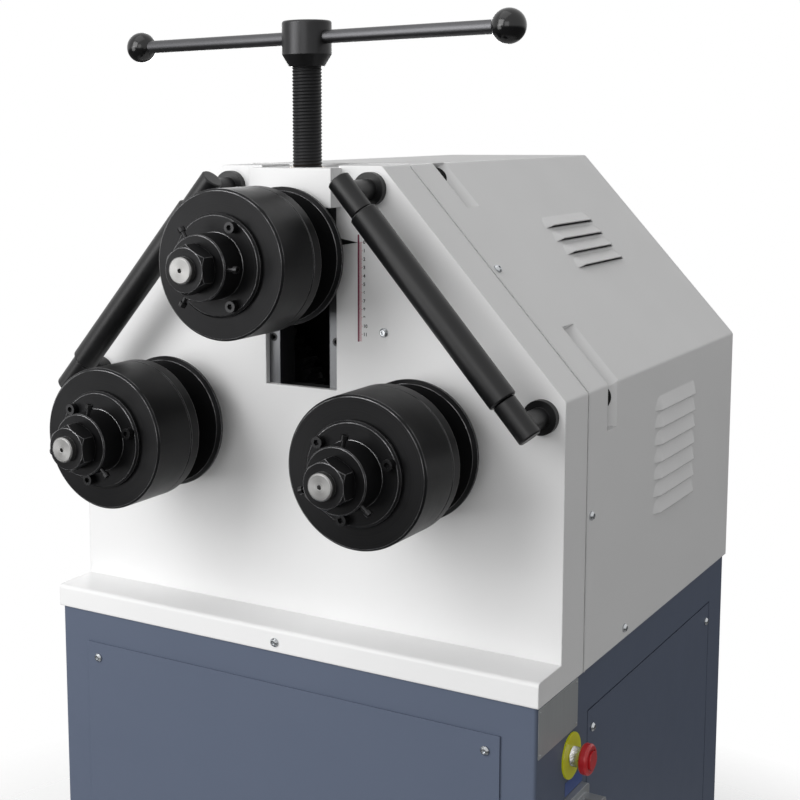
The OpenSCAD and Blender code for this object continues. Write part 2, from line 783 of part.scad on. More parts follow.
// White hood over the drive: a folded shell with a back wall, louvres and scoops
module hood() color(white_paint) head() {
    difference() {
        union() {
            difference() {
                along_y(cover_d + seam_gap, hood_back) folded(0, 0);
                difference() {
                    along_y(cover_d, hood_back - hood_wall) folded(hood_wall, -cut);
                    scoops(hood_wall);
                }
                scoops(0);
            }
            both_sides() {
                side_louvre_places() louvre() louvre_skin_profile();
                slant_louvre_places() louvre() louvre_skin_profile();
            }
        }
        both_sides() {
            side_louvre_places() louvre() louvre_air_profile();
            slant_louvre_places() louvre() louvre_air_profile();
        }
        guide_post_places() disc(scoop_hole_d, scoop_y - hood_wall - cut, scoop_y + scoop_slant_ramp);
        hood_screw_places() screw_hole(hood_wall);
    }
}

module casing_screws() color(bright_steel) head() {
    cover_screw_places() button_screw(cover_wall);
    hood_screw_places() button_screw(hood_wall);
    front_panel_screw_places() button_screw(panel_t);
    side_panel_screw_places() button_screw(cabinet_wall);
}

// Block that closes the slot's top and holds the lead nut
module bridge() color(white_paint) head() {
    difference() {
        union() {
            span([-slot_w / 2 - bridge_lap, -bridge_out, slot_top],
                 [slot_w / 2 + bridge_lap, 0, head_h - bridge_drop]);
            span([seat_fit - slot_w / 2, -seat_fit, slot_top],
                 [slot_w / 2 - seat_fit, bridge_back, head_h - bridge_drop]);
        }
        translate([0, screw_y, slot_top - cut]) cylinder(d = lead_nut_d + 2 * seat_fit, h = head_h);
    }
}

module lead_nut() color(bronze) head() {
    translate([0, screw_y, 0]) along_z(slot_top, head_h - bridge_drop) difference() {
        circle(d = lead_nut_d);
        circle(d = screw_d + 2 * running_fit);
    }
}

// Hardened rails that narrow the slot to the carriage's neck
rail_x = slot_w / 2 - rail_w / 2;
module rail_screw_places() for (x = [-rail_x, rail_x], share = rail_screw_shares)
    translate([x, rail_recess, slot_bottom + share * (slot_top - slot_bottom)]) children();
module slide_rails() color(machined_steel) head() {
    difference() {
        both_sides()
            span([slot_w / 2 - rail_w, rail_recess, slot_bottom],
                 [slot_w / 2 - seat_fit, front_plate_back, slot_top]);
        rail_screw_places() disc(rail_screw_d + 2 * seat_fit, -cut, rail_screw_h);
    }
}

module rail_screws() color(satin_black) head() {
    rail_screw_places() difference() {
        disc(rail_screw_d, 0, rail_screw_h);
        along_y(-cut, rail_screw_socket_depth) hexagon(rail_screw_socket);
    }
}

// Round caps over the lower shafts' front bearings
module bearing_caps() color(cast_grey) head() {
    for (x = [-1, 1]) translate([x * roll_spacing / 2, 0, lower_roll_h]) difference() {
        union() {
            turned_ring(bearing_cap_d, shoulder_d + 2 * slide_fit, front_plate_y - bearing_cap_t,
                        front_plate_y, edge_chamfer / 2, edge_chamfer / 2);
            disc(bearing_od - 2 * seat_fit, front_plate_y, front_bearing_y);
        }
        disc(shoulder_d + 2 * slide_fit, front_plate_y - bearing_cap_t - cut, front_bearing_y + cut);
        for (i = [0 : bearing_cap_screw_count - 1]) rotate([0, (i + 0.5) * 360 / bearing_cap_screw_count, 0])
            translate([bearing_cap_d / 2 - bearing_cap_screw_inset, 0, 0])
                disc(bearing_cap_screw_d, front_plate_y - bearing_cap_t - cut, front_plate_y + cut);
    }
}

// Rolling bearing, drawn as one ring that its shaft runs in
module bearing(y) along_y(y, y + bearing_w) difference() {
    circle(d = bearing_od);
    circle(d = shaft_d + 2 * running_fit);
}
module shaft_bearings() color(bright_steel) head() {
    for (place = [[-roll_spacing / 2, lower_roll_h], [roll_spacing / 2, lower_roll_h], [0, pinion_h]])
        translate([place.x, 0, place.y]) {
            bearing(front_bearing_y);
            bearing(rear_bearing_y);
        }
}

// Guide roller axis on the right side: the child's +Z runs up along the axle from its middle
module guide_axis() {
    translate([(guide_top_x + guide_low_x) / 2, -guide_reach, (guide_top_z + guide_low_z) / 2])
        rotate([0, -guide_tilt, 0]) children();
}
module guide_arms() difference() {
    union() {
        for (place = [[guide_top_x, guide_top_z], [guide_low_x, guide_low_z]])
            translate([place.x, 0, place.y]) {
                disc(guide_post_d, -guide_reach, front_plate_y + guide_post_grip);
                disc(guide_collar_d, -guide_collar_t, 0);
            }
        guide_axis() for (end = [0, 1]) mirror([0, 0, end])
            turned_bar(guide_stub_d, guide_span / 2 - guide_stub_in, guide_span / 2 + guide_stub_out,
                       guide_edge);
    }
    guide_axis() along_z(-guide_span, guide_span) circle(d = guide_axle_d + 2 * seat_fit);
}
module guide_axle() guide_axis()
    along_z(-guide_span / 2 - guide_stub_out, guide_span / 2 + guide_stub_out) circle(d = guide_axle_d);
guide_roller_l = guide_span - 2 * guide_stub_in - 2 * guide_end_gap;
module guide_roller() guide_axis() difference() {
    turned_bar(guide_roller_d, -guide_roller_l / 2, guide_roller_l / 2, guide_edge);
    along_z(-guide_span, guide_span) circle(d = guide_axle_d + 2 * running_fit);
}
module guide_arms_right() color(satin_black) head() guide_arms();
module guide_arms_left() color(satin_black) head() mirror([1, 0, 0]) guide_arms();
module guide_axles() color(machined_steel) head() both_sides() guide_axle();
module guide_roller_right() color(satin_black) head() guide_roller();
module guide_roller_left() color(satin_black) head() mirror([1, 0, 0]) guide_roller();

// Emergency stop and pedal socket: the child's axis is X, with 0 at the cabinet's right wall
module at_estop() translate([cabinet_w / 2, cabinet_front + estop_back, -estop_drop]) children();
module at_socket() translate([cabinet_w / 2, cabinet_front + socket_back, -socket_drop]) children();
module disc_out(d, x0, x1) along_x(x0, x1) circle(d = d);
module estop_body() color("#d8c21e") head() at_estop() difference() {
    union() {
        disc_out(legend_d, 0, legend_t);
        disc_out(estop_neck_d, legend_t, legend_t + estop_neck_l);
        disc_out(estop_thread_d, -cabinet_wall, legend_t);
        along_x(-cabinet_wall - estop_box_l, -cabinet_wall) square(estop_box, center = true);
    }
    disc_out(estop_stem_d + 2 * running_fit, legend_t + estop_neck_l - estop_stem_l - estop_press - cut,
             legend_t + estop_neck_l + cut);
}

// Red mushroom head on its stem, hollow over the neck, with a rounded rim and a raised middle in a groove
module mushroom_profile() difference() {
    union() {
        square([mushroom_d / 2 - mushroom_edge_r, mushroom_rim_l]);
        translate([0, mushroom_edge_r]) square([mushroom_d / 2, mushroom_rim_l - 2 * mushroom_edge_r]);
        for (z = [mushroom_edge_r, mushroom_rim_l - mushroom_edge_r])
            translate([mushroom_d / 2 - mushroom_edge_r, z]) circle(mushroom_edge_r);
        square([mushroom_centre_d / 2, mushroom_l]);
    }
    translate([mushroom_centre_d / 2, mushroom_rim_l - mushroom_groove_depth])
        square([mushroom_groove_w, mushroom_l]);
    translate([0, -cut]) square([estop_recess_d / 2, estop_recess_depth + cut]);
}
module estop_head() color("#c8202a") head() at_estop() {
    neck_end = legend_t + estop_neck_l;
    back = neck_end - estop_lap;
    translate([back, 0, 0]) rotate([0, 90, 0]) rotate_extrude() mushroom_profile();
    disc_out(estop_stem_d, neck_end - estop_stem_l + estop_press,
             back + mushroom_rim_l - mushroom_groove_depth);
}

// Die-cast panel socket for the foot pedal's plug
module pedal_socket() color(cast_grey) head() at_socket() {
    difference() {
        union() {
            translate([0, -socket_flange / 2, -socket_flange / 2])
                along_x(0, socket_flange_t) rounded([socket_flange, socket_flange], socket_corner_r);
            translate([0, -socket_box / 2, -socket_box / 2])
                along_x(socket_flange_t, socket_front) rounded([socket_box, socket_box], socket_corner_r);
            disc_out(socket_barrel_d, -socket_barrel_l, socket_flange_t);
        }
        disc_out(socket_insert_d, socket_front - socket_recess, socket_front + cut);
        translate([socket_flange_t + (socket_box_l - socket_slot_l) / 2, 0, 0])
            span([0, -socket_slot_w / 2, socket_box / 2 - socket_slot_depth],
                 [socket_slot_l, socket_slot_w / 2, socket_box / 2 + cut]);
        for (i = [0 : socket_pin_count - 1]) rotate([i * 360 / socket_pin_count, 0, 0])
            translate([0, 0, socket_insert_d / 2 * socket_pin_circle_share])
                disc_out(socket_pin_d, socket_front - socket_pin_depth, socket_front);
    }
}

// Worm gearbox bolted to the rear plate, bored for the pinion's shaft
module gearbox() color(cast_grey) head() translate([0, 0, pinion_h]) {
    difference() {
        union() {
            span([-gearbox_w / 2, rear_plate_back, -gearbox_h / 2 + gearbox_worm_rise / 2],
                 [gearbox_w / 2, rear_plate_back + gearbox_d, gearbox_h / 2 + gearbox_worm_rise / 2]);
            disc(gearbox_cover_d, rear_plate_back + gearbox_d,
                 rear_plate_back + gearbox_d + gearbox_cover_t);
        }
        disc(shaft_d + 2 * running_fit, rear_plate_back - cut, rear_plate_back + pinion_shaft_reach + cut);
    }
}

// Finned motor on the gearbox's right face, its axis along X
module motor() color("#47525e") head()
    translate([gearbox_w / 2, rear_plate_back + gearbox_d / 2, pinion_h + gearbox_worm_rise]) {
        disc_out(motor_flange_d, 0, motor_flange_t);
        disc_out(motor_d, motor_flange_t, motor_end);
        disc_out(motor_d + 2 * motor_fin_out, motor_end - motor_fan_l, motor_end);
        for (i = [0 : motor_fin_count - 1]) rotate([i * 360 / motor_fin_count, 0, 0])
            span([motor_flange_t, -motor_fin_t / 2, 0],
                 [motor_end - motor_fan_l, motor_fin_t / 2, motor_d / 2 + motor_fin_out]);
    }

// Steel switchgear box with a lid, on the cabinet's back wall
module control_box() color(cast_grey) head()
    translate([0, cabinet_front + cabinet_d - cabinet_wall, control_box_floor_gap - cabinet_h]) {
        difference() {
            span([-control_box_w / 2, -control_box_d, 0], [control_box_w / 2, 0, control_box_h]);
            span([control_box_wall - control_box_w / 2, -control_box_d - cut, control_box_wall],
                 [control_box_w / 2 - control_box_wall, -control_box_wall, control_box_h - control_box_wall]);
        }
        span([-control_box_w / 2 - control_box_lap, -control_box_d - control_box_wall, -control_box_lap],
             [control_box_w / 2 + control_box_lap, -control_box_d, control_box_h + control_box_lap]);
    }

// Pieces of a roll stack, on an axis along Y
module roll_shaft() difference() {
    union() {
        rotate([90, 0, 0])
            turned_bar(thread_d, -collar_front - 2 * thread_set_back, -shaft_front, thread_chamfer);
        disc(shaft_d, collar_front + thread_set_back, flange_back);
        disc(shoulder_d, flange_back, front_bearing_y - slide_fit);
        disc(shaft_d, flange_back, shaft_back);
    }
    disc(centre_hole_d, shaft_front - cut, shaft_front + centre_hole_depth);
}
stack_bore = shaft_d + 2 * seat_fit;
module roll_flange()
    turned_ring(flange_d, stack_bore, flange_front, flange_back, flange_chamfer, edge_chamfer);
module roll_core() along_y(groove_front, flange_front) difference() {
    circle(d = core_d);
    circle(d = stack_bore);
}
module roll_rear_ring()
    turned_ring(roll_d, stack_bore, split_line, groove_front, edge_chamfer / 2, edge_chamfer / 2);
module round_hub(angle) for (i = [0 : hub_screw_count - 1])
    rotate([0, -angle - i * 360 / hub_screw_count, 0]) children();
module hub_screw_places(angle) round_hub(angle) translate([hub_d / 2 - hub_screw_edge, 0, 0]) children();
module collar_screw_places(angle) round_hub(angle + 180 / hub_screw_count)
    translate([0, collar_front + collar_screw_back, 0]) children();
module roll_front_ring(angle) difference() {
    turned_ring(roll_d, stack_bore, ring_front, split_line, edge_chamfer, edge_chamfer / 2);
    hub_screw_places(angle) disc(hub_screw_d + 2 * seat_fit, ring_front - cut, ring_front + hub_screw_grip);
}
module roll_hub(angle) difference() {
    union() {
        turned_ring(hub_d, stack_bore, hub_front, ring_front, edge_chamfer, edge_chamfer / 2);
        turned_ring(collar_d, stack_bore, collar_front, hub_front + hub_t / 2, edge_chamfer / 2,
                    edge_chamfer / 2);
    }
    hub_screw_places(angle) disc(hub_screw_d + 2 * seat_fit, hub_front - cut, ring_front + cut);
    collar_screw_places(angle) disc_out(collar_screw_d + 2 * seat_fit, 0, collar_d);
}
module roll_hub_screws(angle) {
    hub_screw_places(angle) difference() {
        union() {
            disc(hub_screw_head_d, hub_front - hub_screw_head_h, hub_front);
            disc(hub_screw_d, hub_front, ring_front + hub_screw_grip);
        }
        along_y(hub_front - hub_screw_head_h - cut, hub_front - hub_screw_head_h + hub_screw_socket_depth)
            hexagon(hub_screw_socket);
    }
    collar_screw_places(angle) difference() {
        union() {
            disc_out(collar_screw_d, stack_bore / 2, collar_screw_top);
            disc_out(collar_screw_head_d, collar_screw_top - collar_screw_head_h, collar_screw_top);
        }
        along_x(collar_screw_top - collar_screw_socket_depth, collar_screw_top + cut)
            hexagon(collar_screw_socket);
    }
}
// Hexagon nut with both faces turned to a chamfer
module roll_nut() intersection() {
    along_y(nut_front, collar_front) difference() {
        rotate(30) hexagon(nut_flats);
        circle(d = thread_d + 2 * seat_fit);
    }
    nut_chamfer = nut_flats / cos(30) / 2 - nut_flats / 2;
    turned_ring(nut_flats / cos(30), thread_d, nut_front, collar_front, nut_chamfer, nut_chamfer);
}
module roll_gear(start) {
    root_d = 2 * tooth_radii(gear_teeth)[0] - 2 * gear_rim_t;
    difference() {
        union() {
            along_y(gear_y, gear_y + gear_w) polygon(gear_points(gear_teeth, start));
            disc(gear_boss_d, gear_y - gear_boss_l, gear_y + gear_w + gear_boss_l);
        }
        disc(stack_bore, gear_y - gear_boss_l - cut, gear_y + gear_w + gear_boss_l + cut);
        for (y = [[gear_y - cut, gear_y + (gear_w - gear_web_t) / 2],
                  [gear_y + (gear_w + gear_web_t) / 2, gear_y + gear_w + cut]])
            along_y(y[0], y[1]) difference() {
                circle(d = root_d);
                circle(d = gear_boss_d);
            }
    }
}

module left_shaft() color(bright_steel) head() at_left() roll_shaft();
module left_flange() color(black_oxide) head() at_left() roll_flange();
module left_core() color(black_oxide) head() at_left() roll_core();
module left_rear_ring() color(black_oxide) head() at_left() roll_rear_ring();
module left_front_ring() color(black_oxide) head() at_left() roll_front_ring(left_screw_angle);
module left_hub() color(black_oxide) head() at_left() roll_hub(left_screw_angle);
module left_hub_screws() color(machined_steel) head() at_left() roll_hub_screws(left_screw_angle);
module left_nut() color(black_oxide) head() at_left() roll_nut();
module left_gear() color(machined_steel) head() at_left() roll_gear(left_gear_start);

module right_shaft() color(bright_steel) head() at_right() roll_shaft();
module right_flange() color(black_oxide) head() at_right() roll_flange();
module right_core() color(black_oxide) head() at_right() roll_core();
module right_rear_ring() color(black_oxide) head() at_right() roll_rear_ring();
module right_front_ring() color(black_oxide) head() at_right() roll_front_ring(right_screw_angle);
module right_hub() color(black_oxide) head() at_right() roll_hub(right_screw_angle);
module right_hub_screws() color(machined_steel) head() at_right() roll_hub_screws(right_screw_angle);
module right_nut() color(black_oxide) head() at_right() roll_nut();
module right_gear() color(machined_steel) head() at_right() roll_gear(right_gear_start);

module top_shaft() color(bright_steel) head() at_top() roll_shaft();
module top_flange() color(black_oxide) head() at_top() roll_flange();
module top_core() color(black_oxide) head() at_top() roll_core();
module top_rear_ring() color(black_oxide) head() at_top() roll_rear_ring();
module top_front_ring() color(black_oxide) head() at_top() roll_front_ring(top_screw_angle);
module top_hub() color(black_oxide) head() at_top() roll_hub(top_screw_angle);
module top_hub_screws() color(machined_steel) head() at_top() roll_hub_screws(top_screw_angle);
module top_nut() color(black_oxide) head() at_top() roll_nut();

// Pinion cut on its shaft, which runs into the gearbox
module pinion() color(machined_steel) head() translate([0, 0, pinion_h]) {
    along_y(gear_y - pinion_overlap, gear_y + gear_w + pinion_overlap) polygon(gear_points(pinion_teeth, 90));
    disc(shaft_d, front_bearing_y + slide_fit, rear_plate_back + pinion_shaft_reach);
}

// Carriage: a neck between the rails, a block behind them, a tube and a tail in the rear slot
carriage_front = neck_recess;
carriage_block_y = front_plate_back + slide_fit;
carriage_tail_y = rear_plate_y - slide_fit;
module carriage() color(machined_steel) head() at_top() difference() {
    union() {
        span([-neck_w / 2, carriage_front, -carriage_h / 2], [neck_w / 2, carriage_block_y, carriage_h / 2]);
        span([-carriage_w / 2, carriage_block_y, -carriage_h / 2],
             [carriage_w / 2, carriage_block_y + carriage_block_d, carriage_h / 2]);
        disc(carriage_tube_d, carriage_block_y, carriage_tail_y);
        span([-carriage_w / 2, carriage_tail_y - carriage_block_d, -carriage_h / 2],
             [carriage_w / 2, carriage_tail_y, carriage_h / 2]);
        span([-neck_w / 2, carriage_tail_y, -carriage_h / 2], [neck_w / 2, rear_plate_back, carriage_h / 2]);
    }
    disc(shoulder_d + 2 * slide_fit, carriage_front - cut, carriage_tail_y);
    disc(bearing_od + 2 * seat_fit, front_bearing_y, carriage_block_y + carriage_block_d);
    disc(bearing_od + 2 * seat_fit, rear_bearing_y, rear_plate_back + cut);
    disc(shoulder_d, carriage_tail_y - cut, rear_bearing_y + cut);
    translate([0, screw_y, carriage_h / 2 - journal_l - journal_gap])
        cylinder(d = journal_d + 2 * running_fit, h = journal_l + journal_gap + cut);
}

module carriage_bearings() color(bright_steel) head() at_top() {
    bearing(front_bearing_y);
    bearing(rear_bearing_y);
}

// Flat pointer on the neck's front, cranked out over the rail and the cover to the scale
module pointer() color(satin_black) head() at_top() {
    along_y(-pointer_stand, carriage_front)
        translate([pointer_root_x, pointer_rise]) square([neck_w / 2 - pointer_root_x, pointer_h]);
    along_y(-pointer_stand - pointer_t, -pointer_stand) polygon([
        [pointer_root_x, pointer_rise],
        [slot_w / 2, pointer_rise],
        [pointer_tip_x, pointer_rise + pointer_h / 2],
        [slot_w / 2, pointer_rise + pointer_h],
        [pointer_root_x, pointer_rise + pointer_h]
    ]);
}

// Lead screw on a journal in the carriage, with the T handle on its head
module at_screw() translate([0, screw_y, 0]) children();
module lead_screw() color(black_oxide) head() at_screw() {
    carriage_top = top_roll_h + carriage_h / 2;
    along_z(carriage_top - journal_l, carriage_top + journal_gap) circle(d = journal_d);
    along_z(carriage_top + journal_gap, handle_hub_bottom + screw_in_hub) circle(d = screw_d);
}

module handle_hub() color(satin_black) head() at_screw() difference() {
    rotate_extrude() {
        polygon([
            [0, handle_hub_bottom],
            [handle_cone_d / 2, handle_hub_bottom],
            [handle_hub_d / 2, handle_hub_bottom + handle_cone_h],
            [handle_hub_d / 2, handle_hub_top - handle_edge],
            [handle_hub_d / 2 - handle_edge, handle_hub_top],
            [0, handle_hub_top]
        ]);
        translate([handle_hub_d / 2 - handle_edge, handle_hub_top - handle_edge]) circle(handle_edge);
    }
    along_z(handle_hub_bottom - cut, handle_hub_bottom + screw_in_hub) circle(d = screw_d + 2 * seat_fit);
    at_bar() disc_out(bar_d + 2 * seat_fit, -handle_hub_d, handle_hub_d);
}
module at_bar() translate([0, 0, bar_h]) rotate([0, 0, bar_turn]) children();
bar_half = ball_span / 2 + ball_d * bar_in_ball_share;
module handle_bar() color(satin_black) head() at_screw() at_bar() disc_out(bar_d, -bar_half, bar_half);
module ball_knobs() color(satin_black) head() at_screw() at_bar() difference() {
    for (x = [-ball_span / 2, ball_span / 2]) translate([x, 0, 0]) rotate(90) sphere(d = ball_d);
    disc_out(bar_d + 2 * seat_fit, -bar_half - slide_fit, bar_half + slide_fit);
}

cabinet();
front_panel();
side_panels();
front_plate();
rear_plate();
tie_bars();
front_cover();
hood();
casing_screws();
bridge();
lead_nut();
slide_rails();
rail_screws();
bearing_caps();
shaft_bearings();
guide_arms_left();
guide_arms_right();
guide_axles();
estop_body();
pedal_socket();
gearbox();
motor();
control_box();
left_shaft();
left_flange();
left_core();
left_rear_ring();
left_front_ring();
left_hub();
left_hub_screws();
left_nut();
left_gear();
right_shaft();
right_flange();
right_core();
right_rear_ring();
right_front_ring();
right_hub();
right_hub_screws();
right_nut();
right_gear();
pinion();
carriage();
pointer();
carriage_bearings();
top_shaft();
top_flange();
top_core();
top_rear_ring();
top_front_ring();
top_hub();
top_hub_screws();
top_nut();
lead_screw();
handle_hub();
handle_bar();
ball_knobs();
guide_roller_left();
guide_roller_right();
estop_head();
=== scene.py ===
"""Looks of the angle roll bender: camera, studio light, finishes and the fine pieces on its solids.

Sizes here are millimetres, and MM turns them into the frame's metres. +Z is up and +Y is to the back.
"""
import json
import math

import bpy
import numpy as np
from mathutils import Matrix, Vector


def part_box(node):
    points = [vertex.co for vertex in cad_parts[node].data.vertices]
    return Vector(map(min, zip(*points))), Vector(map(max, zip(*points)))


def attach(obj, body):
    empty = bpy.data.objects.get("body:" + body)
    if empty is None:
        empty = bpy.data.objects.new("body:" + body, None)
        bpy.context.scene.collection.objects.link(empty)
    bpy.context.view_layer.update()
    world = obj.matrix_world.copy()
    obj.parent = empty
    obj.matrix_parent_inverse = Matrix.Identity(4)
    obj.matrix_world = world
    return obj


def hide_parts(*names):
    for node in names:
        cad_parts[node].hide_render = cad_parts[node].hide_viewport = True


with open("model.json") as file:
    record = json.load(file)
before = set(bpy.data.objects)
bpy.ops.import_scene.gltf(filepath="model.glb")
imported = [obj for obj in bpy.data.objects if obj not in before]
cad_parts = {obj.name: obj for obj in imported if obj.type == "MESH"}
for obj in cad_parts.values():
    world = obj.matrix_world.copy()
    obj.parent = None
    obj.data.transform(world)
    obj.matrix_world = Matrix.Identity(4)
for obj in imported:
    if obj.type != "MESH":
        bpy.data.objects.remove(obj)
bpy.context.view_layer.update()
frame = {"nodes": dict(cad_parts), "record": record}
record = frame["record"]
scene = bpy.context.scene
MM = 0.001

# Faces of the frame that the fine pieces stand on: the cover's front, the head's foot, the right wall
BRIDGE_PROUD = 24
face_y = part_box("bridge")[0].y + BRIDGE_PROUD * MM
foot_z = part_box("cabinet")[1].z
wall_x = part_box("cabinet")[1].x


# Camera, its place in metres and its angles in degrees
CAMERA_PLACE = Vector((0.9509, -1.8066, 1.2740))
CAMERA_AZIMUTH, CAMERA_ELEVATION, CAMERA_ROLL = 33.239, 7.755, -0.535
CAMERA_LENS, CAMERA_SHIFT_X, CAMERA_SHIFT_Y = 66.473, 0.1625, -0.0875


def make_camera():
    """Camera that looks along the azimuth and elevation, turned by the roll about its own axis."""
    a, e = math.radians(CAMERA_AZIMUTH), math.radians(CAMERA_ELEVATION)
    back = Vector((math.sin(a) * math.cos(e), -math.cos(a) * math.cos(e), math.sin(e)))
    right = Vector((math.cos(a), math.sin(a), 0))
    upright = Matrix((right, back.cross(right), back)).transposed()
    roll = Matrix.Rotation(math.radians(CAMERA_ROLL), 3, "Z")
    camera = bpy.data.objects.new("camera", bpy.data.cameras.new("camera"))
    camera.data.lens = CAMERA_LENS
    camera.data.shift_x, camera.data.shift_y = CAMERA_SHIFT_X, CAMERA_SHIFT_Y
    camera.matrix_world = Matrix.Translation(CAMERA_PLACE) @ (upright @ roll).to_4x4()
    scene.collection.objects.link(camera)
    scene.camera = camera


# Nodes and finishes
BEVEL_SAMPLES = 4
FACTOR, COLOUR_A, COLOUR_B, COLOUR_OUT = 0, 6, 7, 2  # the Mix node's sockets when it mixes colours


def linear(code):
    """Linear RGBA of an sRGB colour written as #RRGGBB, by the curve of the sRGB standard."""
    srgb = np.array([int(code[i:i + 2], 16) for i in (1, 3, 5)]) / 255
    rgb = np.where(srgb <= 0.04045, srgb / 12.92, ((srgb + 0.055) / 1.055) ** 2.4)
    return (*rgb.tolist(), 1.0)


def repeats(size_mm):
    """Scale of a texture whose features are that many millimetres wide."""
    return 1 / (size_mm * MM)


def add(tree, kind, inputs, out=0, **settings):
    """Adds a node with its settings, sets or links its inputs, and returns one of its outputs."""
    node = tree.nodes.new("ShaderNode" + kind)
    for key, value in settings.items():
        setattr(node, key, value)
    for key, value in inputs.items():
        if isinstance(value, bpy.types.NodeSocket):
            tree.links.new(value, node.inputs[key])
        else:
            node.inputs[key].default_value = value
    return node.outputs[out]


def finish(name, inputs):
    """New material with its shader's plain values set; returns the material, its nodes and a linker."""
    material = bpy.data.materials.new(name)
    material.use_nodes = True
    tree = material.node_tree
    shader = tree.nodes["Principled BSDF"]
    for key, value in inputs.items():
        shader.inputs[key].default_value = value
    return material, tree, lambda key, socket: tree.links.new(socket, shader.inputs[key])


def powder_coat(name, colour, roughness, gloss, fold_mm):
    """Polyester powder coat, sprayed on folded sheet steel and baked: an orange peel of small swells
    over the slow waves of the sheet, a gloss that changes a little over the panel and that the peel
    breaks up along the sheet, soft folds."""
    peel_mm, peel_depth_mm = 2.5, 0.012  # real peel is about 1 mm wide, drawn coarser to show
    wave_mm, wave_depth_mm, patch_mm = 160, 0.4, 70
    graze_start, graze_end = 0.6, 0.94
    patch_low, patch_high, glossier, duller = 0.3, 0.7, 0.04, 0.05
    material, tree, link = finish(name, {"Base Color": linear(colour), "Specular IOR Level": gloss})
    place = add(tree, "TexCoord", {}, "Object")
    soft = add(tree, "Bevel", {"Radius": fold_mm * MM}, samples=BEVEL_SAMPLES)
    along = add(tree, "LayerWeight", {"Blend": 0.5}, "Facing")
    link("Specular IOR Level", add(tree, "MapRange", {"Value": along, "From Min": graze_start,
                                                      "From Max": graze_end, "To Min": gloss, "To Max": 0}))
    wave = add(tree, "TexNoise", {"Vector": place, "Scale": repeats(wave_mm), "Detail": 1})
    peel = add(tree, "TexNoise", {"Vector": place, "Scale": repeats(peel_mm), "Detail": 1})
    patch = add(tree, "TexNoise", {"Vector": place, "Scale": repeats(patch_mm), "Detail": 3})
    waved = add(tree, "Bump", {"Height": wave, "Distance": wave_depth_mm * MM, "Normal": soft})
    link("Normal", add(tree, "Bump", {"Height": peel, "Distance": peel_depth_mm * MM, "Normal": waved}))
    link("Roughness", add(tree, "MapRange", {"Value": patch, "From Min": patch_low, "From Max": patch_high,
                                             "To Min": roughness - glossier, "To Max": roughness + duller}))
    return material


def turned_steel(name, colour, wear_and_highlight_colour, roughness, centre, inputs):
    """Steel turned on a lathe about Y: tool marks are rings that step along the radius on flat faces
    and along the axis on round ones; edges are painted brighter: part wear, part painted highlight."""
    mark_mm, mark_depth_mm = 1.6, 0.025  # real marks are about 0.2 mm apart, drawn coarser to show
    patch_mm, edge_mm, axis_share, anisotropy = 25, 1.3, 0.8, 0.45
    rub_and_highlight_start, rub_and_highlight_end, patch_low, patch_high = 0.98, 0.86, 0.3, 0.65
    mark_spread, patch_spread = 0.16, 0.12
    material, tree, link = finish(name, {"Anisotropic": anisotropy, **inputs})
    place = add(tree, "Mapping", {"Vector": add(tree, "TexCoord", {}, "Object"), "Location": -centre})
    across = add(tree, "Mapping", {"Vector": place, "Scale": (1, 0, 1)})
    radius = add(tree, "VectorMath", {0: across}, "Value", operation="LENGTH")
    along = add(tree, "SeparateXYZ", {"Vector": place}, "Y")
    track = add(tree, "Math", {0: along, 1: axis_share, 2: radius}, operation="MULTIPLY_ADD")
    marks = add(tree, "TexNoise", {"W": track, "Scale": repeats(mark_mm), "Detail": 3},
                noise_dimensions="1D")
    patch = add(tree, "TexNoise", {"Vector": place, "Scale": repeats(patch_mm), "Detail": 4})
    soft = add(tree, "Bevel", {"Radius": edge_mm * MM}, samples=BEVEL_SAMPLES)
    facing = add(tree, "VectorMath", {0: soft, 1: add(tree, "NewGeometry", {}, "Normal")}, "Value",
                 operation="DOT_PRODUCT")
    # Edges found by the softened normal: partly wear, partly a painted highlight of the chamfers catching
    # light
    rubbed_and_highlit = add(tree, "MapRange", {"Value": facing, "From Min": rub_and_highlight_start, "From Max": rub_and_highlight_end})
    share = add(tree, "MapRange", {"Value": patch, "From Min": patch_low, "From Max": patch_high})
    wear_and_highlight = add(tree, "Math", {0: rubbed_and_highlit, 1: share}, operation="MULTIPLY", use_clamp=True)
    link("Metallic", add(tree, "MapRange", {"Value": wear_and_highlight, "To Min": inputs["Metallic"]}))
    toned = add(tree, "Mix", {FACTOR: marks, COLOUR_A: linear(colour[0]), COLOUR_B: linear(colour[1])},
                COLOUR_OUT, data_type="RGBA")
    # Painted highlight and wear: the pale edge colour laid on the edges in random patches
    link("Base Color", add(tree, "Mix", {FACTOR: wear_and_highlight, COLOUR_A: toned, COLOUR_B: linear(wear_and_highlight_colour)},
                           COLOUR_OUT, data_type="RGBA"))
    gloss = add(tree, "Math", {0: marks, 1: mark_spread, 2: roughness - (mark_spread + patch_spread) / 2},
                operation="MULTIPLY_ADD")
    link("Roughness", add(tree, "Math", {0: patch, 1: patch_spread, 2: gloss}, operation="MULTIPLY_ADD"))
    link("Normal", add(tree, "Bump", {"Height": marks, "Distance": mark_depth_mm * MM, "Normal": soft}))
    link("Tangent", add(tree, "Tangent", {}, direction_type="RADIAL", axis="Y"))
    return material


